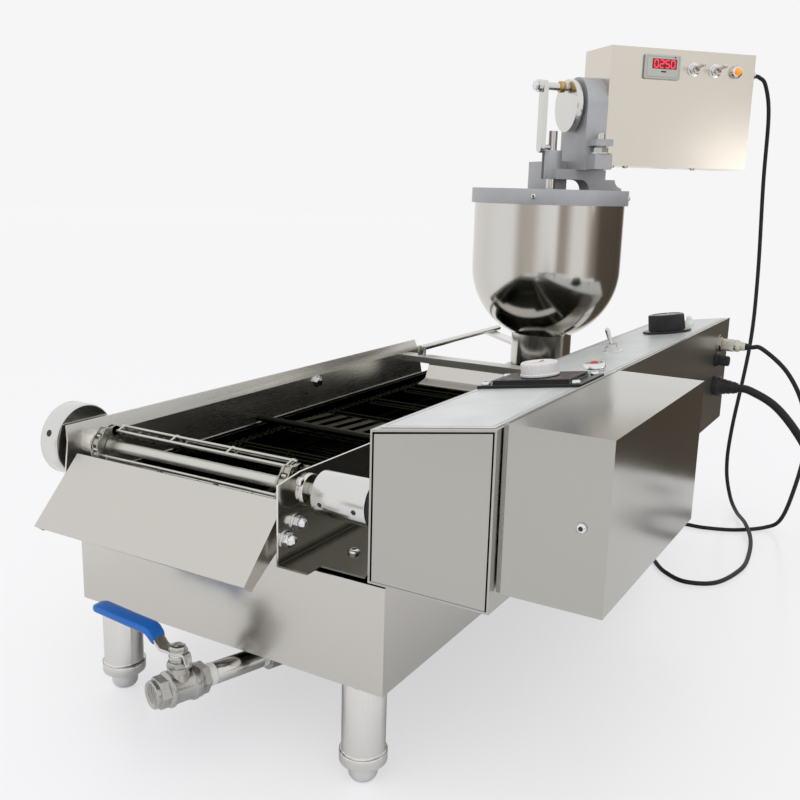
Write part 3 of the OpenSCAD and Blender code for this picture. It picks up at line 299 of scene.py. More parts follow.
cast = pebbled("cast aluminium", (0.43, 0.435, 0.455), 0.46, 0.35)
turned = brushed("turned aluminium", (0.67, 0.665, 0.65), 0, 0.2)
polished = brushed("polished steel", (0.62, 0.605, 0.58), 2, 0.15, 0.000004, 0.05)
# The chains and flights take painted shade inside the tank; the chain at the wall is darkest, as deepest in
# the shade.
chain_steel = shaded("oiled chain", (0.44, 0.43, 0.39), (0.17, 0.165, 0.13), 0.3)
wall_chain_steel = shaded("oiled chain at the wall", (0.44, 0.43, 0.39), (0.010, 0.010, 0.007), 0.34)
flight_steel = shaded("oiled flights", (0.62, 0.61, 0.57), (0.014, 0.014, 0.010), 0.32)
valve_steel = pebbled("cast valve steel", (0.45, 0.44, 0.42), 0.24, 1.0, 700.0, 0.0002)
black_plastic = pebbled("black plastic", (0.018, 0.018, 0.019), 0.42, 0.0, 1400.0, 0.0001)
white_plastic = pebbled("white plastic", (0.78, 0.77, 0.74), 0.3, 0.0, 300.0, 0.00005)
red_lens = pebbled("red lens", (0.55, 0.02, 0.015), 0.15, 0.0, 300.0, 0.00002)
amber_lens = pebbled("amber lens", (0.85, 0.25, 0.02), 0.15, 0.0, 300.0, 0.00002)
blue_sleeve = pebbled("blue sleeve", (0.008, 0.13, 0.50), 0.32, 0.0, 500.0, 0.0001)
motor_paint = pebbled("motor paint", (0.09, 0.10, 0.11), 0.45, 0.0)
film = pebbled("panel film", (0.63, 0.655, 0.65), 0.36, 0.35, 600.0, 0.00004)
film_line = pebbled("scored line", (0.27, 0.28, 0.28), 0.45, 0.3)
# Near-black discs, plates and hexagons of this finish stand for holes, slots and sockets: painted shade.
hole_shade = pebbled("dark hole", (0.02, 0.02, 0.02), 0.6, 0.0)
red_mark = pebbled("red mark", (0.42, 0.015, 0.025), 0.3, 0.0)
frosted = pebbled("frosted plastic", (0.74, 0.73, 0.72), 0.38, 0.0, 260.0, 0.0001)
gloss_black = pebbled("gloss black", (0.014, 0.014, 0.015), 0.2, 0.0, 900.0, 0.00003)
bezel = pebbled("grey bezel", (0.50, 0.505, 0.47), 0.42, 0.0, 900.0, 0.00005)
window = pebbled("counter window", (0.16, 0.008, 0.012), 0.16, 0.0, 300.0, 0.00002)
digit_red = pebbled("lit bars", (0.9, 0.04, 0.09), 0.4, 0.0)
brass = pebbled("brass bush", (0.60, 0.40, 0.15), 0.3, 1.0)
tape = pebbled("sealing tape", (0.80, 0.80, 0.79), 0.55, 0.0, 900.0, 0.0002)
for lit, glow, strength in ((digit_red, (1.0, 0.03, 0.07), 1.1), (amber_lens, (1.0, 0.30, 0.01), 0.55)):
    lit_shader = lit.node_tree.nodes["Principled BSDF"]
    lit_shader.inputs["Emission Color"].default_value = (*glow, 1.0)
    lit_shader.inputs["Emission Strength"].default_value = strength
black_rubber = pebbled("black rubber", (0.014, 0.014, 0.015), 0.5, 0.0, 1800.0, 0.0001)
for dark_finish in (gloss_black, black_plastic, black_rubber):
    dark_finish.node_tree.nodes["Principled BSDF"].inputs["Specular IOR Level"].default_value = 0.25

# %% Finishes of the CAD nodes
FINISHES = {
    case_steel: "case",
    leg_steel: "leg_front_left leg_front_right leg_rear_left leg_rear_right",
    lip_steel: "left_guard",
    sheet_y: "right_guard cross_rail hopper_support landing_plate",
    sheet_x: "chute",
    bracket_steel: "drive_bracket",
    panel_y: "control_box control_end",
    cover_y: "motor_cover",
    head_steel: "head_box",
    tank_y: "tank heater",
    bright: "panel_toggle head_toggle_left head_toggle_right hopper_stay crank_link",
    chrome: "foot_front_left foot_front_right foot_rear_left foot_rear_right",
    nickel: "connector",
    polished: "hopper plunger",
    flight_steel: "flights drive_shaft idler_shaft turner_paddle",
    cast: "lid_casting",
    turned: "hand_knob crank_disc coupling",
    chain_steel: "chain_left chain_right",
    valve_steel: "drain_pipe valve_body",
    gloss_black: "dial_plate",
    black_plastic: "speed_knob fuse_holder display cord_gland",
    white_plastic: "thermostat_dial pilot_lamp",
    red_lens: "red_lamp",
    amber_lens: "head_lamp",
    blue_sleeve: "valve_lever",
    motor_paint: "gearmotor",
    black_rubber: "link_cable power_cord power_coil power_plug",
}
for material, names in FINISHES.items():
    for name in names.split():
        nodes[name].data.materials.clear()
        nodes[name].data.materials.append(material)
print("finished nodes", sum(len(names.split()) for names in FINISHES.values()))

# %% [markdown]
# ## Cords
# Two black cords leave the control box. The thin link cable runs from a screwed connector down to the
# floor, lies there in a loop that crosses itself and climbs to the head box. The thicker power cord
# drops from its gland and is wound up beside the machine. A cord is a fixed length of something
# flexible, so each is one smooth open curve through a list of points, with a round bevel.


# %% A cord along its route
def smooth_route(points, steps=10):
    """Catmull-Rom curve through the points: each span is a cubic whose end slopes are half the chord
    between a point's two neighbours."""
    p = np.asarray(points, float)
    p = np.vstack([2 * p[0] - p[1], p, 2 * p[-1] - p[-2]])
    t = np.linspace(0.0, 1.0, steps, endpoint=False)[None, :, None]
    a, b, c, d = (p[i : len(p) - 3 + i, None, :] for i in range(4))
    span = 0.5 * (2 * b + (c - a) * t + (2 * a - 5 * b + 4 * c - d) * t**2 + (3 * b - a - 3 * c + d) * t**3)
    return np.vstack([span.reshape(-1, 3), p[-2]])


def cord_curve(name, points_mm, diameter_mm, material):
    """One open poly spline with a round bevel; returns the object and its length in metres."""
    spots = place(points_mm)
    data = bpy.data.curves.new(name, "CURVE")
    data.dimensions = "3D"
    data.bevel_depth = diameter_mm / 2 * MM
    data.bevel_resolution = 4
    data.use_fill_caps = True
    spline = data.splines.new("POLY")
    spline.points.add(len(spots) - 1)
    spline.points.foreach_set("co", np.column_stack([spots, np.ones(len(spots))]).ravel())
    data.materials.append(material)
    made = add(name, data)
    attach(made, "frame")
    return made, float(np.linalg.norm(np.diff(spots, axis=0), axis=1).sum())


# %% The two cords
LINK_D, POWER_D = 6.5, 12.0
LINK_Z, POWER_Z = LINK_D / 2, POWER_D / 2
LINK_ROUTE = [
    (143.8, 790, 332), (160, 790, 331), (196, 803, 298), (220, 830, 243), (224, 876, 171), (208, 932, 82),
    (190, 965, 22), (168, 962, 5), (127, 925, LINK_Z), (80, 906, LINK_Z), (38, 900, LINK_Z),
    (11, 845, LINK_Z), (16, 780, LINK_Z), (54, 708, LINK_Z), (80, 675, LINK_Z), (112, 659, LINK_Z),
    (150, 682, LINK_Z), (170, 755, LINK_Z), (168, 825, LINK_Z), (158, 888, 7.5),
    (138, 945, 12), (112, 1008, 8), (92, 1044, 24),
    (79, 1058, 70), (79, 1066, 140), (91, 1086, 290), (90, 1096, 410), (84, 1088, 570), (83, 1076, 680),
    (76, 1060.5, 727), (67.4, 1049.4, 738.6), (60.1, 1041.7, 740.9),
]
POWER_ROUTE = [
    (133.8, 775, 272), (152, 776, 270), (190, 781, 249), (228, 790, 203), (258, 803, 145), (286, 820, 88),
    (306, 838, 48), (312, 858, 25), (308, 876, 15), (304.1, 890.1, POWER_Z),
]
# The rest of the power cord lies in a flat spiral that grows by one cord's width a turn, and ends at its
# plug.
COIL_CENTRE, COIL_START, COIL_TURNS, COIL_PITCH = (345.0, 905.0), 44.0, 3.3, 12.35
TAIL_ROUTE = [(376, 1001, POWER_Z), (402, 1020, 9), (412, 1042, 15)]
COIL_FROM, COIL_STEPS = np.radians(200.0), 24
angle = COIL_FROM - np.linspace(0.0, 2 * np.pi * COIL_TURNS, int(COIL_STEPS * COIL_TURNS))[1:]
radius = COIL_START + COIL_PITCH * (COIL_FROM - angle) / (2 * np.pi)
coil = np.column_stack([
    COIL_CENTRE[0] + radius * np.cos(angle),
    COIL_CENTRE[1] + radius * np.sin(angle),
    np.full(len(angle), POWER_Z),
])
link_line = smooth_route(LINK_ROUTE)
power_line = smooth_route(np.vstack([POWER_ROUTE, coil, TAIL_ROUTE]), 6)
link_cable, link_length = cord_curve("cable_to_head", link_line, LINK_D, black_rubber)
power_cord, power_length = cord_curve("mains_cord", power_line, POWER_D, black_rubber)
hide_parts("link_cable")
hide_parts("power_cord", "power_coil")
print("link cable", round(link_length, 3), "m; power cord", round(power_length, 3), "m")

# %% [markdown]
# ## Surfaces from outlines and profiles
# Nearly every fitting on this machine was turned, pressed or stamped: an outline with a profile carried
# round it. A nut is a hexagon with a chamfer, a knob is a circle with a grip, a plate is a rounded
# rectangle with soft edges. One formula covers them: point = outline + normal * offset, at a height. The
# whole grid of points is worked out at once and then set down where the fitting sits.


# %% Outlines and profiles
def circle(count):
    """Outline of a turned piece: all points on the axis, normals round it, so an offset is a radius."""
    t = np.linspace(0.0, 2 * np.pi, count, endpoint=False)
    normal = np.column_stack([np.cos(t), np.sin(t)])
    return normal * 0.0, normal


def lobed(lobes, depth, count=144):
    """Outline of a fluted grip: the radius moves in and out by depth, lobes times a turn."""
    _, normal = circle(count)
    t = np.linspace(0.0, 2 * np.pi, count, endpoint=False)
    return normal * (depth * (np.abs(np.sin(lobes * t / 2)) - 1.0))[:, None], normal


def hexagon(flats):
    """Hexagon by its width across flats; a corner's normal is longer, so that the flats move evenly."""
    _, corner = circle(6)
    return corner * flats / 2 / np.cos(np.pi / 6), corner / np.cos(np.pi / 6)


def rectangle(width, height, radius, steps=5):
    """Rectangle with round corners: corner centres plus the radius along quarter-circle normals."""
    t = (np.linspace(0.0, np.pi / 2, steps)[None, :] + np.pi / 2 * np.arange(4)[:, None]).ravel()
    normal = np.column_stack([np.cos(t), np.sin(t)])
    sign = np.repeat([(1, 1), (-1, 1), (-1, -1), (1, -1)], steps, axis=0)
    return sign * (np.array([width, height]) / 2 - radius) + radius * normal, normal


def carry(outline, profile):
    """Grid of points: one row for each (offset, height) of the profile, one column for each outline point."""
    spots, normal = outline
    offset, height = np.asarray(profile, float).T
    flat = spots[None] + normal[None] * offset[:, None, None]
    return np.dstack([flat, np.broadcast_to(height[:, None, None], flat.shape[:2] + (1,))])


def soft(offset, low, high, edge):
    """Profile of a plate or drum with rounded edges: out, up and in again."""
    t = np.linspace(0.0, np.pi / 2, 4)
    up = np.column_stack([offset - edge + edge * np.sin(t), low + edge - edge * np.cos(t)])
    down = np.column_stack([offset - edge + edge * np.cos(t), high - edge + edge * np.sin(t)])
    return np.vstack([up, down])


def seat(spot, x_axis, y_axis):
    """Where a fitting stands: its origin and its own x, y and z, with z out of the surface."""
    x, y = np.asarray(x_axis, float), np.asarray(y_axis, float)
    return np.asarray(spot, float), np.vstack([x, y, np.cross(x, y)])


# %% From grids to pieces
def grid_faces(rows, columns, closed):
    """Quads between neighbouring rows; columns always run round, rows only where the profile is closed."""
    row = np.arange(rows if closed else rows - 1)[:, None]
    column = np.arange(columns)[None, :]
    right, above = (column + 1) % columns, (row + 1) % rows
    low, high = row * columns, above * columns
    quads = np.stack([low + column, low + right, high + right, high + column], 2)
    faces = quads.reshape(-1, 4).tolist()
    if not closed:
        faces += [list(range(columns))[::-1], list(range((rows - 1) * columns, rows * columns))]
    return faces


def make(name, body, slot, *parts, sharp=35.0):
    """One piece from several grids: each part is (grid, seat, material) or (grid, seat, material, closed)."""
    points, faces, paint, materials, start = [], [], [], [], 0
    for grid, (spot, axes), material, *closed in parts:
        rows, columns = grid.shape[:2]
        points.append(place(grid.reshape(-1, 3) @ axes + spot))
        new = grid_faces(rows, columns, bool(closed and closed[0]))
        faces += [[corner + start for corner in face] for face in new]
        if material not in materials:
            materials.append(material)
        paint += [materials.index(material)] * len(new)
        start += rows * columns
    return mesh_piece(name, body, np.vstack(points), faces, paint, materials, sharp)


def mesh_piece(name, body, points, faces, paint, materials, sharp):
    """Puts points and faces into a mesh that rides on a body and has the given materials."""
    data = bpy.data.meshes.new(name)
    data.from_pydata(points.tolist(), [], faces)
    for material in materials:
        data.materials.append(material)
    data.polygons.foreach_set("material_index", np.asarray(paint, np.int32))
    data.polygons.foreach_set("use_smooth", np.ones(len(faces), bool))
    data.set_sharp_from_angle(angle=np.radians(sharp))
    data.validate()
    made = add(name, data)
    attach(made, body)
    return made


# %% Seats on the machine
CONTROL_W, CONTROL_RISE, CONTROL_X, CONTROL_Z = 116.0, 17.0, -17.0, 349.0
SLOPE = np.arctan2(CONTROL_RISE, CONTROL_W)
TOP_W = CONTROL_W / np.cos(SLOPE)
TURN, HEAD_HALF = np.radians(46.7), 42.5
HEAD_ALONG = np.array([np.cos(TURN), np.sin(TURN), 0.0])
HEAD_ACROSS = np.array([-np.sin(TURN), np.cos(TURN), 0.0])
HOPPER = np.array([-190.0, 804.0, 0.0])
UP = np.array([0.0, 0.0, 1.0])


def on_top(share, y, lift=0.0):
    """Seat on the control box's sloping top: share runs across it, y along it."""
    across = np.array([np.cos(SLOPE), 0.0, np.sin(SLOPE)])
    out = np.array([-np.sin(SLOPE), 0.0, np.cos(SLOPE)])
    return seat(np.array([CONTROL_X, y, CONTROL_Z]) + across * share * TOP_W + out * lift, across, (0, 1, 0))


def on_head(u, z, lift=0.0):
    """Seat on the head box's front face, u along the head and z up."""
    return seat(HOPPER + HEAD_ALONG * u - HEAD_ACROSS * (HEAD_HALF + lift) + UP * z, HEAD_ALONG, UP)


def on_side(x, y, z):
    """Seat on a face that looks to the right."""
    return seat((x, y, z), (0, 1, 0), UP)


def upright(x, y, z):
    """Seat on a level face that looks up."""
    return seat((x, y, z), (1, 0, 0), (0, 1, 0))


print("top slope", round(float(np.degrees(SLOPE)), 2), "degrees")

# %% [markdown]
# ## Fasteners
# Cap nuts, hexagon nuts and pan-head screws turn up all over the sheet metal. Each is a short list of
# grids, so that a whole group of them can be joined into one piece.


# %% Nuts and screws
def nut(where, flats, height, metal, washer=0.0):
    """Hexagon nut with chamfered corners, on a washer where one is given."""
    sides = [(-0.4, washer), (0, washer + 0.5), (0, height - 0.6), (-0.9, height)]
    parts = [(carry(hexagon(flats), sides), where, metal)]
    if washer:
        parts.append((carry(circle(36), soft(flats * 0.72, 0.0, washer, 0.3)), where, metal))
    return parts


def cap_nut(where, flats):
    """Hexagon nut with a dome: the dome is a quarter circle turned round the axis."""
    t = np.linspace(0.0, np.pi / 2 - 0.02, 7)
    radius, base = flats * 0.46, flats * 0.55
    dome = np.column_stack([radius * np.cos(t), base + radius * np.sin(t)])
    top = (carry(circle(24), np.vstack([(radius, base - 0.5), dome])), where, chrome)
    return nut(where, flats, base, chrome, 1.2) + [top]


def screw(where, diameter):
    """Pan-head screw: a low dome, with a dark hexagon of painted shade where its socket is."""
    r, h = diameter / 2, diameter * 0.36
    head = [(r * 0.96, 0), (r, h * 0.25), (r * 0.93, h * 0.62), (r * 0.74, h * 0.9), (r * 0.5, h),
            (r * 0.44, h * 0.96)]
    return [
        (carry(circle(28), head), where, chrome),
        (carry(hexagon(r * 0.78), [(0, h * 0.5), (0, h * 1.01)]), where, hole_shade),
    ]


def screws(name, diameter, seats):
    """One piece with a pan-head screw on each seat."""
    make(name, "frame", "bright_steel", *(part for where in seats for part in screw(where, diameter)))
    print(name, len(seats))


# %% [markdown]
# ## Control panel
# The sloping top of the control box carries a pale sheet with a scored border. A glossy black plate in
# two layers holds the frosted thermostat dial, and behind it stand a red lamp, a switch, a black speed
# knob and a small white pilot. The turned ones are profiles round a circle, and the two grips use the
# lobed outline, so that their flutes are real geometry and not only a bump.

# %% Panel sheet, dial plate screws and switch nut
PANEL_LEN, PANEL_MID = 832.0, 421.0
DIAL_Y, DIAL_FACE = 230.0, 8.3
SPEED_Y, SPEED_SHARE = 671.0, 0.58
make(
    "panel_sheet", "frame", "panel_steel",
    (carry(rectangle(TOP_W - 9, PANEL_LEN, 4), soft(0.0, 0.0, 0.8, 0.3)), on_top(0.5, PANEL_MID), film),
    (carry(rectangle(TOP_W - 16, PANEL_LEN - 9, 3), [(0, 0.75), (0, 0.9), (-0.8, 0.9), (-0.8, 0.75)]),
     on_top(0.5, PANEL_MID), film_line, True),
)
screws("dial_plate_screws", 9,
       [on_top(0.5 + x / TOP_W, DIAL_Y + y, 3.9) for x in (-48.0, 48.0) for y in (-27.0, 27.0)])
mark = carry(rectangle(6.5, 2.6, 1.2), soft(0.0, 0.0, 0.5, 0.2))
make("dial_marks", "frame", "red_lens", *(
    (mark, on_top(0.5 + x / TOP_W, DIAL_Y + y, 7.9), red_mark)
    for x, y in ((-33.0, -18.0), (27.0, -18.0), (33.0, 18.0), (-33.0, 18.0))))
SWITCH_SHARE, SWITCH_Y = 0.48, 466.0
neck = [(6.9, 5), (6.9, 6.6), (7.3, 7.0), (7.3, 8.2), (6.9, 8.6), (6.4, 8.6)]
make("switch_nut", "frame", "bright_steel", *nut(on_top(SWITCH_SHARE, SWITCH_Y, 0.7), 17, 5.5, chrome, 1.4),
     (carry(circle(40), neck), on_top(SWITCH_SHARE, SWITCH_Y), chrome))

# %% Thermostat dial and speed knob
t = np.linspace(0.0, np.pi / 2, 6)
dial_round = np.column_stack([16.4 + 2.6 * np.cos(t), 20.2 + 2.6 * np.sin(t)])
dial_profile = np.vstack([
    [(19.2, DIAL_FACE), (20.0, DIAL_FACE + 0.8), (20.0, DIAL_FACE + 2.4), (19.2, DIAL_FACE + 3)],
    dial_round,
    [(14.0, 22.4), (13.2, 22.0)],
])
dial = make(
    "frosted_dial", "thermostat_dial", "white_plastic",
    (carry(lobed(30, 0.7), dial_profile), on_top(0.5, DIAL_Y), frosted),
    (carry(rectangle(2.0, 10.0, 0.9), [(0, 21.9), (0, 22.3), (-0.3, 22.5)]),
     on_top(0.5, DIAL_Y + 7.0), red_mark),
)
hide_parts("thermostat_dial")
knob_round = np.column_stack([21.6 + 2.6 * np.cos(t), 23.4 + 2.6 * np.sin(t)])
knob_seat = on_top(SPEED_SHARE, SPEED_Y)
knob_skirt = [(32.0, 1.1), (33.0, 1.9), (33.0, 3.0), (32.2, 3.9), (29.0, 4.6), (26.0, 5.2)]
knob_grip = np.vstack([[(25.0, 4.6), (25.0, 6.0)], knob_round, [(19.5, 26.2), (18.8, 25.6), (17.0, 25.4)]])
knob = make(
    "black_speed_knob", "speed_knob", "black_plastic",
    (carry(circle(72), knob_skirt), knob_seat, gloss_black),
    (carry(lobed(60, 0.35, 240), knob_grip), knob_seat, gloss_black),
    (carry(rectangle(1.8, 8.0, 0.8), [(0, 25.0), (0, 25.9), (-0.2, 26.0)]),
     on_top(SPEED_SHARE, SPEED_Y + 11.0), white_plastic),
)
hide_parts("speed_knob")
print("dial", len(dial.data.polygons), "faces; knob", len(knob.data.polygons), "faces")


# %% Lamps
def dome(radius, low, high, steps=8):
    """Profile of a lens: a quarter ellipse from its rim to a small flat at the top."""
    a = np.linspace(0.0, np.pi / 2 * 0.97, steps)
    return np.column_stack([radius * np.cos(a), low + (high - low) * np.sin(a)])


red_seat = on_top(0.78, 300.0)
red_rim = [(11.2, 0.5), (12, 1.2), (12, 3.0), (11.4, 3.6), (11.4, 4.2), (11.9, 4.8), (11.6, 8.6),
           (10.8, 9.8), (8.6, 10.4), (5.8, 10.2), (5.4, 9.4)]
red = make(
    "red_panel_lamp", "frame", "red_lens",
    (carry(circle(56), red_rim), red_seat, chrome),
    (carry(circle(40), np.vstack([(5.2, 8.2), dome(5.1, 9.6, 12.2)])), red_seat, red_lens),
)
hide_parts("red_lamp")
pilot_seat = on_top(0.675, 752.0)
pilot = make(
    "white_pilot", "frame", "white_plastic",
    (carry(circle(40), [(5.6, 0.5), (6, 1.0), (6, 6.0), (5.5, 7.2), (4.6, 7.6)]), pilot_seat, white_plastic),
    (carry(circle(32), np.vstack([(4.2, 7.0), dome(4.1, 9.0, 14.8)])), pilot_seat, frosted),
)
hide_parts("pilot_lamp")
print("lamps on the panel:", red.name, pilot.name)

# %% [markdown]
# ## Outlets on the right wall
# The link cable leaves through a bright knurled connector. Under it sit a fuse holder and the gland of
# the power cord, with a ribbed relief that narrows towards the cord.

# %% Connector, fuse holder and gland
WALL_X = 99.0
link_seat, fuse_seat, gland_seat = (on_side(WALL_X, *spot) for spot in ((790, 332), (771, 311), (775, 272)))
link_shell = [(8.2, 20.8), (8.2, 22.5), (8.9, 23.1), (8.9, 27.4), (8.1, 28.6), (6.6, 30), (6.2, 36),
              (5.6, 37)]
link_relief = [(5.2, 36), (5.2, 38.5), (4.6, 39), (4.9, 40), (4.4, 40.5), (4.6, 41.5), (4.1, 42),
               (4.2, 43.6), (3.5, 44.4)]
plug_in = make(
    "screwed_connector", "frame", "bright_steel", *nut(link_seat, 20, 4.2, nickel, 1.0),
    (carry(lobed(36, 0.5, 216), [(8.4, 4), (9.2, 4.8), (9.2, 20.0), (8.6, 21)]), link_seat, nickel),
    (carry(circle(40), link_shell), link_seat, nickel),
    (carry(circle(36), link_relief), link_seat, black_rubber),
)
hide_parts("connector")
# The fuse cap's slot is a dark plate: painted shade.
fuse = make(
    "fuse_cap", "frame", "black_plastic",
    (carry(circle(44), soft(9.5, 0.0, 4.6, 0.8)), fuse_seat, gloss_black),
    (carry(lobed(18, 0.7), [(7.5, 4), (7.5, 17.6), (7.0, 19.4), (5.8, 20.0)]), fuse_seat, gloss_black),
    (carry(rectangle(9.0, 1.6, 0.5), [(0, 19.2), (0, 20.1)]), fuse_seat, hole_shade),
)
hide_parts("fuse_holder")
rib = 13.5 + 7.2 * np.arange(3)
rib_radius = np.repeat([11.4, 10.2, 8.9], 4) - np.tile([0.0, 0.2, 1.1, 1.2], 3)
rib_height = np.repeat(rib, 4) + np.tile([0.0, 3.6, 4.0, 6.6], 3)
relief = np.vstack([[(11.8, 11.0)], np.column_stack([rib_radius, rib_height]), [(6.6, 34.0)]])
gland = make(
    "cord_relief", "frame", "black_plastic",
    (carry(circle(48), soft(15.4, 0.0, 3.0, 0.6)), gland_seat, black_plastic),
    (carry(hexagon(27), [(-0.8, 2.8), (0, 3.4), (0, 9.6), (-1.2, 11.2)]), gland_seat, black_plastic),
    (carry(circle(44), relief), gland_seat, black_plastic), sharp=50.0,
)
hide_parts("cord_gland")
print("outlets:", plug_in.name, fuse.name, gland.name)

# %% Screw and lip of the motor cover
COVER_LOW, COVER_LEN, COVER_H = np.array([103.0, 9.0, 227.0]), 276.0, 143.0
screws("cover_screw", 9, [seat((168.7, COVER_LOW[1], 297.6), (1, 0, 0), UP)])
# The motor cover's front and top run on to a thin joint with the control box, so a lip closes most of the
# slot between them.
LIP_W, LIP_T, LIP_LAP = 3.8, 1.8, 1.0
lip_mid = COVER_LOW + (LIP_LAP - LIP_W / 2, 0.0, 0.0)
lip_sheet = [(0, -LIP_T), (0, 0)]
make("cover_lip", "frame", "panel_steel",
     (carry(rectangle(LIP_W, COVER_H - 2, 0.4), lip_sheet),
      seat(lip_mid + UP * COVER_H / 2, (1, 0, 0), UP), cover_y),
     (carry(rectangle(LIP_W, COVER_LEN - 2, 0.4), lip_sheet),
      upright(*(lip_mid + (0.0, COVER_LEN / 2, COVER_H))), cover_y))

# %% [markdown]
# ## Head box
# A counter with red digits, two switches and an amber lamp sit in a row on the front. Each digit is lit
# from seven bars, whose places a small table lists.


# %% Counter with seven-bar digits
BARS = {"a": (0, 2, 1), "b": (1, 1, 0), "c": (1, -1, 0), "d": (0, -2, 1), "e": (-1, -1, 0), "f": (-1, 1, 0),
        "g": (0, 0, 1)}
LIT = {"0": "abcdef", "2": "abged", "5": "afgcd"}


def digit(figure, u, z):
    """Grids for one digit: each bar is a soft strip, level or upright, at a half step from the centre."""
    half_w, half_h, thick = 3.2, 2.7, 1.7
    bars = []
    for letter in LIT[figure]:
        across, up_steps, level = BARS[letter]
        size = (2 * half_w - 0.6, thick) if level else (thick, 2 * half_h - 0.6)
        spot = on_head(u + across * half_w, z + up_steps * half_h, 5.05)
        bars.append((carry(rectangle(*size, 0.7, 3), [(0, 0), (0, 0.25), (-0.2, 0.35)]), spot, digit_red))
    return bars


HEAD_U, HEAD_W, SWITCH_Z = 69.5, 258.0, 741.0
COUNTER_W, COUNTER_H = 62.5, 36.5
COUNTER_U, COUNTER_Z = HEAD_U + 0.221 * HEAD_W + COUNTER_W / 2, 723.0 + COUNTER_H / 2
WINDOW_U, WINDOW_Z = COUNTER_U + 2.5, COUNTER_Z + 4.5
FIGURES, FIRST_U, STEP_U = "0250", WINDOW_U - 14.7, 9.8
counter_seat = on_head(COUNTER_U, COUNTER_Z)
# A slot and a round hole on the counter are dark marks: painted shade.
counter = make(
    "counter", "frame", "black_plastic",
    (carry(rectangle(COUNTER_W, COUNTER_H, 2.5), soft(0.0, 0.0, 4.8, 1.2)), counter_seat, bezel),
    (carry(rectangle(COUNTER_W - 6, COUNTER_H - 6, 1.5), [(0, 4.7), (0, 4.95), (-0.5, 4.95), (-0.5, 4.7)]),
     counter_seat, film_line, True),
    (carry(rectangle(43, 15, 1.0), [(0, 4.6), (0, 5.0), (-0.3, 5.1)]), on_head(WINDOW_U, WINDOW_Z), window),
    (carry(rectangle(9, 2.2, 0.5), [(0, 4.6), (0, 5.0)]), on_head(WINDOW_U - 1, WINDOW_Z - 11.5), hole_shade),
    (carry(circle(16), [(1.3, 4.6), (1.3, 5.1), (0.9, 5.3)]), on_head(WINDOW_U + 18, WINDOW_Z + 10.2), hole_shade),
    *(part for at, figure in enumerate(FIGURES) for part in digit(figure, FIRST_U + STEP_U * at, WINDOW_Z)),
)
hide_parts("display")
print("counter", len(counter.data.polygons), "faces")

# %% Switch nuts and lamp of the head
for side, u in (("left", HEAD_U + 0.565 * HEAD_W), ("right", HEAD_U + 0.716 * HEAD_W)):
    make("head_switch_nut_" + side, "frame", "bright_steel", *nut(on_head(u, SWITCH_Z), 15, 4.6, chrome, 1.0),
         (carry(circle(40), soft(9.8, 0.0, 0.8, 0.3)), on_head(u, SWITCH_Z), white_plastic),
         (carry(circle(40), [(6.8, 4.2), (6.8, 6.4), (6.3, 6.8)]), on_head(u, SWITCH_Z), chrome))
amber_seat = on_head(HEAD_U + 0.859 * HEAD_W, SWITCH_Z)
amber_rim = [(9.6, 0), (10, 0.6), (10, 3.4), (9.3, 4.4), (8.9, 6.6), (8.0, 7.8), (6.2, 8.4), (5.6, 8.0)]
amber = make(
    "amber_lamp", "frame", "amber_lens",
    (carry(circle(48), amber_rim), amber_seat, chrome),
    (carry(circle(40), np.vstack([(5.5, 7.4), dome(5.4, 8.6, 14.6)])), amber_seat, amber_lens),
)
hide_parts("head_lamp")
print("lamp on the head:", amber.name)

# %% Screws and bolts of the head, lid and crank
RING_R, RING_SCREW_Z = 124.0, 540.0
CLAMP_U, CLAMP_OUT, CLAMP_Z = 54.5, 57.0, 606.2
CRANK_Z, CRANK_R = 708.0, 30.3


def on_ring(angle):
    """Seat on the outside of the cast lid's ring, at an angle in degrees from the x axis."""
    a = np.radians(angle)
    out = np.array([np.cos(a), np.sin(a), 0.0])
    return seat(HOPPER + RING_R * out + UP * RING_SCREW_Z, (-np.sin(a), np.cos(a), 0), UP)


head_bottom = HOPPER - HEAD_ACROSS * 30.0 + UP * 590.0
screws("head_bottom_screws", 9,
       [seat(head_bottom + HEAD_ALONG * u, (1, 0, 0), (0, -1, 0)) for u in (90.0, 114.0, 236.0)])
clamp_spot = HOPPER + HEAD_ALONG * CLAMP_U - HEAD_ACROSS * CLAMP_OUT
make("clamp_bolt", "frame", "bright_steel",
     *nut(upright(*(clamp_spot + UP * CLAMP_Z)), 22, 9.5, chrome, 1.6),
     (carry(circle(28), [(6, 627.6), (6, 636.0), (5.2, 637.0)]), upright(*clamp_spot), bright))
screws("ring_screws", 8, [on_ring(angle) for angle in (280.8, 100.8, 10.0, 190.0)])
pin_seat = seat(HOPPER - HEAD_ALONG * CRANK_R + UP * CRANK_Z, -HEAD_ACROSS, UP)
make("crank_pin_bolt", "crank", "bright_steel", *nut(pin_seat, 14, 6.5, chrome, 1.2))
bush = [(6.2, 5.0), (8.6, 5.4), (8.8, 6.0), (8.8, 13.4), (8.4, 14), (6.2, 14)]
make("crank_bush", "crank", "turned_aluminium",
     (carry(circle(36), bush), seat(HOPPER + UP * CRANK_Z, HEAD_ACROSS, UP), brass, True))

# %% [markdown]
# ## Roller chains
# A roller chain alternates narrow links with wide ones. Each side plate is an outline of two ends and a
# waist. All links of a kind are the same, so one small grid is turned and moved by whole arrays, with
# one rotation for each pitch of the route.


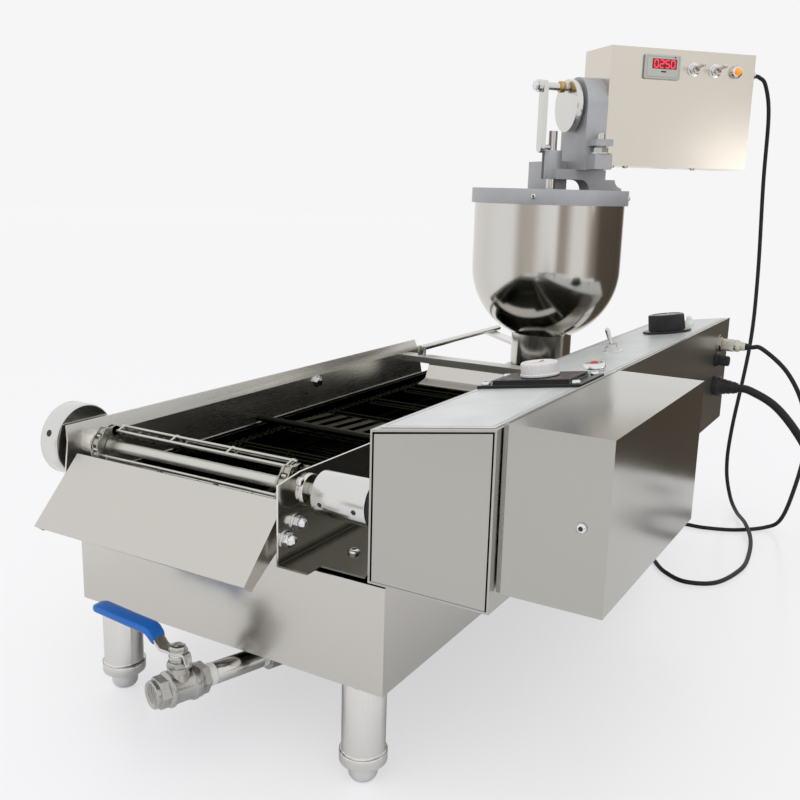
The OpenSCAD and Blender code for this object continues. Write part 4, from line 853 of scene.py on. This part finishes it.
# %% Chain route
PITCH, TEETH, DRIVE = 12.7, 8, np.array([20.0, 276.0])
PITCH_R = PITCH / (2 * np.sin(np.pi / TEETH))
DIP = 2 * np.degrees(np.arcsin(PITCH / (4 * PITCH_R)))
wrap = 360.0 / TEETH * (np.arange(TEETH // 2) + 0.5)
SLOPE_LINKS, LEVEL_LINKS = 12, 50
headings = np.concatenate([
    np.full(SLOPE_LINKS, -DIP), [-DIP * 2 / 3, -DIP / 3], np.zeros(LEVEL_LINKS), -wrap,
    np.full(LEVEL_LINKS, 180.0), 180 - DIP * np.array([1 / 3, 1 / 2, 2 / 3]),
    np.full(SLOPE_LINKS, 180 - DIP), 180 - DIP - wrap])
start = DRIVE + PITCH_R * np.array([np.sin(np.radians(DIP)), np.cos(np.radians(DIP))])
steps = PITCH * np.column_stack([np.cos(np.radians(headings)), np.sin(np.radians(headings))])
pins = start + np.vstack([[0.0, 0.0], np.cumsum(steps, axis=0)])
print("chain links", len(headings), "closing gap", np.round(pins[-1] - pins[0], 3))


# %% Chain links
PLATE_END, PLATE_WAIST, PLATE_T, NARROW_X, WIDE_X = 5.3, 3.6, 1.25, 2.75, 4.1
ROLLER_R, ROLLER_X, PIN_R, PIN_X = 4.25, 2.8, 1.9, 6.1


def link_outline(count=7):
    """Side plate: nearly a half circle round each pin, drawn in to the waist between them."""
    a = np.linspace(-np.pi / 2 * 0.9, np.pi / 2 * 0.9, count)
    end = np.column_stack([np.cos(a), np.sin(a)]) * PLATE_END
    waist = np.array([[PITCH / 2, PLATE_WAIST]])
    return np.vstack([end + [PITCH, 0], waist, [0, 0] - end, -waist + [PITCH, 0]])


def prism(outline, low, high):
    """Grid of two rows: the outline at one depth and again at another."""
    return np.stack([np.column_stack([outline, np.full(len(outline), depth)]) for depth in (low, high)])


def chain_piece(name, node, middle, metal):
    """All plates, rollers and pins of one chain in one mesh, each kind turned along the route at once."""
    _, ring = circle(10)
    every = np.arange(len(headings))
    kinds = [(prism(link_outline(), low, high), which)
             for which, inner in ((every[::2], NARROW_X), (every[1::2], WIDE_X))
             for low, high in ((inner, inner + PLATE_T), (-inner - PLATE_T, -inner))]
    kinds += [(prism(ring * radius, -x, x), every) for radius, x in ((ROLLER_R, ROLLER_X), (PIN_R, PIN_X))]
    points, faces, first = [], [], 0
    for grid, which in kinds:
        angle = np.radians(headings[which])
        turn_y = np.stack([np.cos(angle), -np.sin(angle)], 1)
        turn_z = np.stack([np.sin(angle), np.cos(angle)], 1)
        flat = grid.reshape(-1, 3)
        y = pins[which, 0][:, None] + turn_y @ flat[:, :2].T
        z = pins[which, 1][:, None] + turn_z @ flat[:, :2].T
        x = np.broadcast_to(middle + flat[:, 2], y.shape)
        points.append(np.stack([x, y, z], 2).reshape(-1, 3))
        one = grid_faces(2, grid.shape[1], False)
        last = first + len(flat) * len(which)
        for shift in range(first, last, len(flat)):
            faces += [[corner + shift for corner in face] for face in one]
        first = last
    spots = place(np.vstack(points))
    made = mesh_piece(name, "frame", spots, faces, [0] * len(faces), [metal], 40.0)
    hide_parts(node)
    return made


for side, middle, metal in (("left", -352.6, wall_chain_steel), ("right", -113.6, chain_steel)):
    made = chain_piece("roller_chain_" + side, "chain_" + side, middle, metal)
    print(made.name, len(made.data.polygons), "faces")

# %% [markdown]
# ## Wire flights
# What pushes the donuts along is a set of wire frames between the chains. Each has a wire at two pins of
# the chain and one that stands up between them, and small bent loops hold the three together.


# %% Wires and loops
FLIGHT_STEP, FRONT_FLIGHT, WIRE, LOOP_RISE = 8, 133, 2.8, 6.5
WIRE_X = np.array([-347.2, -119.0])
LOOP_SHARES, LOOP_OUT, LOOP_R = (0.02, 0.34, 0.66, 0.98), 1.1, 1.2
# A loop's bends: how far each lies to the side, and which of the three wires it goes round.
LOOP_BENDS = ((-2.5, 0), (-1.0, 1), (1.0, 1), (2.5, 2), (-2.5, 0))


def tube(path, radius, sides=6):
    """Grid round a path of points: a small circle at each, square to the path's own direction."""
    p = np.asarray(path, float)
    ahead = np.gradient(p, axis=0)
    ahead /= np.linalg.norm(ahead, axis=1)[:, None]
    first = np.cross(ahead, np.where(np.abs(ahead[:, :1]) > 0.9, [[0.0, 0.0, 1.0]], [[1.0, 0.0, 0.0]]))
    first /= np.linalg.norm(first, axis=1)[:, None]
    second = np.cross(ahead, first)
    a = np.linspace(0.0, 2 * np.pi, sides, endpoint=False)
    ring = first[:, None] * np.cos(a)[None, :, None] + second[:, None] * np.sin(a)[None, :, None]
    return p[:, None] + radius * ring


def flight_wires(at):
    """Grids of one flight, which starts at the pin numbered at: three wires and the loops on them."""
    low, high = pins[at], pins[at + 1]
    ahead = (high - low) / PITCH
    rise = (low + high) / 2 + LOOP_RISE * np.array([-ahead[1], ahead[0]])
    here = (np.zeros(3), np.eye(3))
    wires = [(tube([(x, *spot) for x in WIRE_X], WIRE / 2, 8), here, flight_steel)
             for spot in (low, high, rise)]
    corners = np.array([low, rise, high])
    outward = corners - corners.mean(axis=0)
    out = corners + LOOP_OUT * outward / np.linalg.norm(outward, axis=1)[:, None]
    for share in LOOP_SHARES:
        x = WIRE_X[0] + share * (WIRE_X[1] - WIRE_X[0])
        bent = [(x + side, *out[corner]) for side, corner in LOOP_BENDS]
        wires.append((tube(bent, LOOP_R), here, flight_steel))
    return wires


flight_starts = list(range(0, len(headings) - FLIGHT_STEP // 2, FLIGHT_STEP)) + [FRONT_FLIGHT]
flights = make("wire_flights", "frame", "bright_steel",
               *(part for at in flight_starts for part in flight_wires(at)), sharp=60.0)
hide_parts("flights")
print("flights", len(flight_starts), "with", len(flights.data.polygons), "faces")

# %% [markdown]
# ## Drive bracket and shaft
# The bracket is fixed with cap nuts, and the bright coupling is held by sunk screws. A black seal ring
# closes the gap where the shaft enters the control box.


# %% Bracket nuts, coupling screws and seal
BRACKET_X, COUPLING_R, KNOB_R = -96.0, 20.9, 38.9


def on_plate(y, z):
    """Seat on the bracket's face that looks to the control box."""
    return on_side(BRACKET_X, y, z)


def on_drum(x, angle, radius):
    """Seat on a drum round the drive shaft, at an angle from the y axis."""
    a = np.radians(angle)
    out = np.array([0.0, np.cos(a), np.sin(a)])
    side = np.cross(out, [1.0, 0.0, 0.0])
    return seat(np.array([x, *DRIVE]) + out * radius, (1, 0, 0), side)


make("bracket_nuts", "frame", "bright_steel",
     *cap_nut(on_plate(1.4, 249.7), 12), *cap_nut(on_plate(-14.0, 238.0), 12),
     *screw(on_plate(8.0, 286.0), 9), *screw(upright(-56.0, 37.0, 217.0), 12))
# The sockets of the coupling screws are dark hexagons: painted shade.
make("coupling_screws", "drive", "turned_aluminium", *(
    part for x, angle in ((-68.8, 191.5), (-33.0, 191.5), (-68.8, 11.5), (-33.0, 11.5)) for part in (
        (carry(circle(24), [(3.4, -0.4), (3.5, 0.1), (2.9, 0.15)]), on_drum(x, angle, COUPLING_R), turned),
        (carry(hexagon(4.6), [(0, -0.3), (0, 0.22)]), on_drum(x, angle, COUPLING_R), hole_shade))))
seal_ring = [(11, 0), (20.5, 0), (21.4, 0.8), (21.4, 3.4), (20.6, 4.2), (11, 4.2)]
make("shaft_seal", "frame", "black_plastic",
     (carry(circle(56), seal_ring), seat((CONTROL_X, *DRIVE), (0, -1, 0), UP), black_rubber, True))
# The set screw holes are dark discs: painted shade.
make("knob_set_screw", "drive", "turned_aluminium", *(
    (carry(circle(24), [(3.6, -0.5), (3.6, 0.15)]), on_drum(-400.5, angle, KNOB_R), hole_shade)
    for angle in (160.0, 340.0)))
make("wall_nut", "frame", "bright_steel", *nut(on_side(-380.0, 432.4, 274.0), 12, 6, chrome, 1.2))
print("coupling screws at radius", COUPLING_R, "mm")

# %% [markdown]
# ## Drain valve
# The valve is a cast ball valve with hexagon ends, screwed to a bright nipple. White sealing tape shows
# at both threads. The lever is one bent steel bar under a nut, and its grip is a soft blue sleeve.

# %% Valve bands, threads and tape
DRAIN_TURN = np.radians(18.0)
DRAIN_SPOT = np.array([-147.0, 60.0, 88.0])
DRAIN_ALONG = np.array([-np.sin(DRAIN_TURN), -np.cos(DRAIN_TURN), 0.0])
drain_seat = seat(DRAIN_SPOT, (np.cos(DRAIN_TURN), -np.sin(DRAIN_TURN), 0.0), UP)


def hex_turned(flats, profile, count=48):
    """Grid of a nut that runs into a round: at each height, radius = share * hexagon radius + extra."""
    t = np.linspace(0.0, 2 * np.pi, count, endpoint=False)
    hexed = flats / 2 / np.cos(t % (np.pi / 3) - np.pi / 6)
    share, extra, height = np.asarray(profile, float).T[:, :, None]
    radius = share * hexed + extra
    return np.dstack([radius * np.cos(t), radius * np.sin(t), np.broadcast_to(height, radius.shape)])


crests = np.column_stack([np.zeros(14), np.tile([9.6, 10.3], 7), 152.6 - np.arange(14) * 0.85])
mouth = np.vstack([
    [(0, 13.0, 138.0), (1, -0.8, 138.6), (1, 0, 139.4), (1, 0, 148.6), (1, -0.9, 149.6), (0, 13.4, 149.8),
     (0, 13.4, 153.2), (0, 12.8, 154.0), (0, 11.0, 154.0)],
    crests,
    [(0, 7.6, 140.8)],
])
rear = [(1, -1.0, 98.0), (1, 0, 98.9), (1, 0, 105.6), (1, -1.0, 106.6)]
barrel = [(12, 104.5), (15.4, 105.4), (16.4, 107.2), (16.4, 111.2), (17.3, 112.0), (17.3, 115.0),
          (16.2, 115.8), (15.4, 120), (15.4, 131), (16.2, 135.4), (17.3, 136.2), (17.3, 138.0),
          (16.4, 138.8), (14.5, 140.6), (12, 141)]
stem_nut = [(1, -0.6, 108.8), (1, 0, 109.4), (1, 0, 113.4), (1, -0.8, 114.2)]
STEM_AT, VALVE_FLATS = 126.0, 26.8
STEM = DRAIN_SPOT + DRAIN_ALONG * STEM_AT
stem_seat = upright(STEM[0], STEM[1], 0.0)
valve = make(
    "cast_valve", "frame", "valve_steel",
    (hex_turned(VALVE_FLATS, mouth), drain_seat, valve_steel, True),
    (hex_turned(VALVE_FLATS, rear), drain_seat, valve_steel),
    (carry(circle(56), barrel), drain_seat, valve_steel),
    (carry(circle(40), [(13.0, 96.0), (11.2, 103.0), (10.2, 106.0), (10.2, 109.0)]), stem_seat, valve_steel),
    (hex_turned(19.0, stem_nut), stem_seat, valve_steel),
    (carry(circle(36), soft(8.2, 114.0, 117.4, 0.5)), stem_seat, valve_steel),
)
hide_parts("valve_body")
tape_wave = np.array([0.0, 0.5, 0.25, 0.6, 0.3, 0.55, 0.2, 0.0])
make("sealing_tape", "frame", "white_plastic", *(
    (carry(circle(40), np.column_stack([10.4 + tape_wave, np.linspace(low, high, 8)])), drain_seat, tape)
    for low, high in ((30.0, 37.5), (89.0, 98.2))))
make("nipple_sleeve", "frame", "valve_steel",
     (carry(circle(56), [(10.5, 37.0), (10.75, 37.6), (10.75, 88.4), (10.5, 89.0)]), drain_seat, polished))
print("valve axis", np.round(drain_seat[1][2], 3))

# %% Lever and sleeve
BAR_Z, BAR_LIFT, BAR_T, BAR_W = 121.0, 15.0, 3.0, 14.0
lever_axes = np.array([[-1.0, 0, 0], [0, -1.0, 0], UP])
lever_seat = (np.array([STEM[0], STEM[1], 0.0]), lever_axes)


def swept_bar(stations, width, thick, radius):
    """Bar along a path: a rounded rectangle is set at each (distance, height) station, across the path.
    The section's scale at a station narrows it, which rounds the ends."""
    s = np.asarray(stations, float)
    section, _ = rectangle(width, thick, radius, 4)
    grid = np.empty((len(s), len(section), 3))
    grid[:, :, 0] = s[:, None, 0]
    grid[:, :, 1] = section[None, :, 0] * s[:, None, 2]
    grid[:, :, 2] = s[:, None, 1] + section[None, :, 1] * s[:, None, 3]
    return grid


mid_z = BAR_Z + BAR_T / 2
bar = [(-7, mid_z, 0.55, 1), (-5.5, mid_z, 0.85, 1), (-2, mid_z, 1, 1), (16, mid_z, 1, 1),
       (18, mid_z + 0.6, 1, 1.15), (31, mid_z + 14.2, 1, 1.15),
       (33, mid_z + BAR_LIFT, 1, 1), (60, mid_z + BAR_LIFT + 1.4, 1, 1)]
e = np.linspace(0.0, np.pi / 2, 6)
taper = np.maximum(np.cos(e), 0.12)
tip = np.column_stack([97 + 8 * np.sin(e), np.full(6, mid_z + BAR_LIFT + 4.6), taper**0.6, taper**0.35])
grip = np.vstack([
    [(23.5, mid_z + 6.2, 0.72, 0.8), (24.2, mid_z + 7.0, 0.88, 1.1), (25.6, mid_z + 8.5, 0.96, 1.2),
     (30.0, mid_z + 13.0, 1, 1.2), (33.5, mid_z + BAR_LIFT, 1, 1.05), (60, mid_z + BAR_LIFT + 1.8, 1, 1)],
    tip,
])
stop_tab = [(-13.5, 112.0, 0.8, 1.5), (-12.2, 117.5, 1, 1.5), (-11.2, 121.0, 1, 1.4), (-9.5, mid_z, 1, 1),
            (-6, mid_z, 1, 1)]
stem_top = [(4.2, 116.0), (4.2, 127.0), (4.0, 129.4), (3.3, 130.0), (2.2, 129.2)]
lever = make(
    "drain_lever", "valve_lever", "blue_sleeve",
    (swept_bar(bar, BAR_W, BAR_T, 0.8), lever_seat, bright),
    (swept_bar(grip, 19.0, 7.0, 3.0), lever_seat, blue_sleeve),
    (swept_bar(stop_tab, 10.0, BAR_T, 0.8), lever_seat, bright),
    *nut(upright(STEM[0], STEM[1], 124.0), 13, 5.6, bright, 1.2),
    (carry(circle(28), stem_top), stem_seat, valve_steel),
    (carry(circle(36), soft(8.6, 117.7, 119.2, 0.3)), stem_seat, bright),
    (carry(circle(36), soft(7.6, 119.3, 121.0, 0.3)), stem_seat, tape),
    sharp=40.0,
)
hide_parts("valve_lever")
print("lever", len(lever.data.polygons), "faces")

# %% [markdown]
# ## Plug
# The power cord ends in a round two-pin plug with a ribbed grip.

# %% Plug on the power cord
plug_turn = np.radians(70.0)
plug_along = np.array([np.cos(plug_turn), np.sin(plug_turn), 0.0])
plug_side = np.array([-np.sin(plug_turn), np.cos(plug_turn), 0.0])
PLUG_SPOT = np.array([412.0, 1042.0, 15.0])
plug_seat = (PLUG_SPOT, np.vstack([plug_side, UP, plug_along]))
q = np.linspace(0.0, np.pi / 2, 6)
plug_body = np.vstack([
    [(-6.0, 21.0), (-4.0, 22.0)],
    np.column_stack([-4.0 + 4.0 * np.sin(q), 26.0 - 4.0 * np.cos(q)]),
    [(0.0, 48.0), (-0.8, 49.0), (-0.8, 51.0), (0.0, 52.0)],
    np.column_stack([-2.0 + 2.0 * np.cos(q), 66.0 + 2.0 * np.sin(q)]),
])
ridge_height = np.repeat([0.0, 5.0, 10.0, 15.0], 4) + np.tile([0.0, 3.2, 3.6, 4.8], 4)
ridges = np.column_stack([np.tile([7.8, 7.8, 6.9, 6.9], 4), ridge_height])
collar = np.vstack([[(6.2, -6.0), (6.4, -2.0)], ridges, [(8.0, 20.5), (8.0, 23.0)]])
plug_pin = carry(circle(20), [(2.4, 67.0), (2.4, 85.4), (1.9, 86.6), (1.0, 87.0)])
plug = make(
    "mains_plug", "frame", "black_cord",
    (carry(rectangle(37.6, 29.6, 9.0, 8), plug_body), plug_seat, black_rubber),
    (carry(circle(32), collar), plug_seat, black_rubber),
    *((plug_pin, (PLUG_SPOT + plug_side * off, plug_seat[1]), chrome) for off in (-9.5, 9.5)), sharp=40.0,
)
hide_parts("power_plug")
# The wound-up cord lies outside the photograph, so the polished cover doesn't mirror it.
power_cord.visible_glossy = plug.visible_glossy = False

# %% [markdown]
# ## Soft edges
# No folded sheet or casting has a perfectly sharp edge, and the thin bright line on a rounded edge is what
# makes it read as metal. The CAD nodes keep their meshes. A Weld modifier joins their loose triangles and
# a Bevel modifier rounds the edges that turn by more than a set angle.

# %% Bevels on CAD nodes
EDGES = {
    2.2: "control_box motor_cover head_box",
    3.0: "leg_front_left leg_front_right leg_rear_left leg_rear_right",
    1.8: "lid_casting hand_knob",
    0.9: "coupling crank_disc crank_link dial_plate case",
    0.6: "chute left_guard right_guard drive_bracket control_end cross_rail hopper_support",
}
WELD_GAP, FOLD = 0.00002, np.radians(40.0)
for width, names in EDGES.items():
    for name in names.split():
        weld = nodes[name].modifiers.new("weld", "WELD")
        weld.merge_threshold = WELD_GAP
        bevel = nodes[name].modifiers.new("edges", "BEVEL")
        bevel.width, bevel.segments = width * MM, 2 if width < 1.0 else 3
        bevel.limit_method, bevel.angle_limit = "ANGLE", FOLD
        bevel.harden_normals = True
print("nodes with soft edges", sum(len(names.split()) for names in EDGES.values()))

# %% [markdown]
# ## Floor and light
# A plain pale floor, a white surround and one large soft lamp, as in a small photo studio, and a small
# faint lamp for the head box. The camera and glass see the surround as white, while it lights the object
# at a plain level. Metal shows whatever stands around it, so mirrored rays see a limited patch of floor
# and a pale room with dimmer stretches.

# %% Floor
FLOOR_SIZE, FLOOR_GLOW = 30.0, 0.6
floor_mesh = bpy.data.meshes.new("floor")
half = FLOOR_SIZE / 2
floor_corners = [(-half, -half, 0), (half, -half, 0), (half, half, 0), (-half, half, 0)]
floor_mesh.from_pydata(floor_corners, [], [(0, 1, 2, 3)])
floor = add("floor", floor_mesh)
floor_paint, floor_shader, floor_where = finish_of("pale floor", (0.90, 0.90, 0.915), 0.22)
floor_tree = floor_paint.node_tree
floor_rays = floor_tree.nodes.new("ShaderNodeLightPath")
floor_glow = floor_where.node("ShaderNodeEmission", None, Color=(0.97, 0.97, 0.985, 1.0), Strength=1.0)
floor_share = Value(floor_tree, floor_rays.outputs["Is Camera Ray"]) * FLOOR_GLOW
floor_mix = floor_where.node("ShaderNodeMixShader", None, i0=floor_share,
                             i1=Value(floor_tree, floor_shader.outputs["BSDF"]), i2=floor_glow)
# Mirrors see the floor only as far as these limits. Past them their rays go on to the surround.
PATCH_LOW, PATCH_HIGH = (-645, -2000, 0), (2000, 1180, 0)
floor_low, floor_high = place(PATCH_LOW), place(PATCH_HIGH)
near = 1.0
for axis in range(2):
    along = floor_where.axis(axis)
    past_low = along.math("GREATER_THAN", float(floor_low[axis]))
    near = past_low * along.math("LESS_THAN", float(floor_high[axis])) * near
past = Value(floor_tree, floor_rays.outputs["Is Glossy Ray"]) * (1.0 - near)
floor_end = floor_where.node("ShaderNodeMixShader", None, i0=past, i1=floor_mix,
                             i2=floor_where.node("ShaderNodeBsdfTransparent"))
floor_tree.links.new(floor_end.socket, floor_tree.nodes["Material Output"].inputs["Surface"])
floor_mesh.materials.append(floor_paint)
print("mirrored floor", np.round(floor_low[:2], 2), "to", np.round(floor_high[:2], 2))

# %% Surround
# Around the machine the room is pale with a few darker stretches, given as (share of a full turn, level).
# The turn starts at the -x axis, on the machine's left, and runs by its front, right and rear.
LIGHT_LEVEL, WALL_LEVEL = 0.8, 0.92
CEILING_FROM, CEILING_SPAN = 0.03, 0.12
WHITE, DIM_TINT = (1.0, 1.0, 1.0, 1.0), (1.0, 0.82, 0.60, 1.0)
ROOM = [
    (0.0, 0.92), (0.08, 1.0), (0.16, 1.0), (0.195, 0.55), (0.25, 0.6), (0.285, 0.95), (0.345, 1.05),
    (0.36, 0.35), (0.385, 0.4), (0.42, 0.95), (0.47, 0.95), (0.505, 0.34), (0.55, 0.10), (0.735, 0.09),
    (0.765, 0.9), (1.0, 0.95),
]
RAYS = ("Is Camera Ray", "Is Glossy Ray", "Is Transmission Ray")
world = bpy.data.worlds.new("surround")
bpy.context.scene.world = world
world.use_nodes = True
background = world.node_tree.nodes["Background"]
rays = world.node_tree.nodes.new("ShaderNodeLightPath")
seen, mirrored, through = (Value(world.node_tree, rays.outputs[name]) for name in RAYS)
sky = Value(world.node_tree, world.node_tree.nodes.new("ShaderNodeTexCoord").outputs["Generated"])
sky_x, sky_y, sky_z = (sky.axis(number) for number in range(3))
round_share = sky_y.math("ARCTAN2", sky_x) / (2 * np.pi) + 0.5
room = round_share.node("ShaderNodeValToRGB", {"stops": ROOM}, Fac=round_share)
ceiling = ((sky_z - CEILING_FROM) / CEILING_SPAN).clamp()
mirror_level = room * (1.0 - ceiling) + ceiling
white = (seen + through).clamp()
level = white * WALL_LEVEL + (1.0 - white) * (mirrored * mirror_level + (1.0 - mirrored) * LIGHT_LEVEL)
world.node_tree.links.new(level.socket, background.inputs["Strength"])
# What is dim in the room is warm brown as well, and the bright walls are white.
tone = (mirrored * (1.0 - mirror_level)).clamp().mix(WHITE, DIM_TINT)
world.node_tree.links.new(tone.socket, background.inputs["Color"])
print("light level", LIGHT_LEVEL, "room stretches", len(ROOM))


# %% Lamps and view
def look(back):
    """Rotation whose z axis is back and whose x axis is level."""
    z = back / np.linalg.norm(back)
    x = np.cross([0.0, 0.0, 1.0], z)
    x /= np.linalg.norm(x)
    return np.column_stack([x, np.cross(z, x), z])


def lamp(name, spot, aim, width, watts):
    """A square soft lamp at spot, turned towards aim, both in machine millimetres."""
    data = bpy.data.lights.new(name, "AREA")
    data.size, data.energy = width, watts
    made = add(name, data)
    back = place(spot) - place(aim)
    made.matrix_world = Matrix.Translation(place(spot)) @ Matrix(look(back).tolist()).to_4x4()
    return made


# Mirrored, the key lamp would turn pale steel pure white, so metal mirrors the surround alone.
key = lamp("key", spot=(500, -1300, 2400), aim=(-100, 400, 250), width=2.7, watts=26)
key.visible_glossy = False
lamp("head_glow", spot=(1588, 800, 632), aim=(53, 1000, 605), width=0.2, watts=0.24)
bpy.context.scene.view_settings.view_transform = "Standard"
print("key lamp", key.data.size, "m wide at", np.round(key.location, 2))
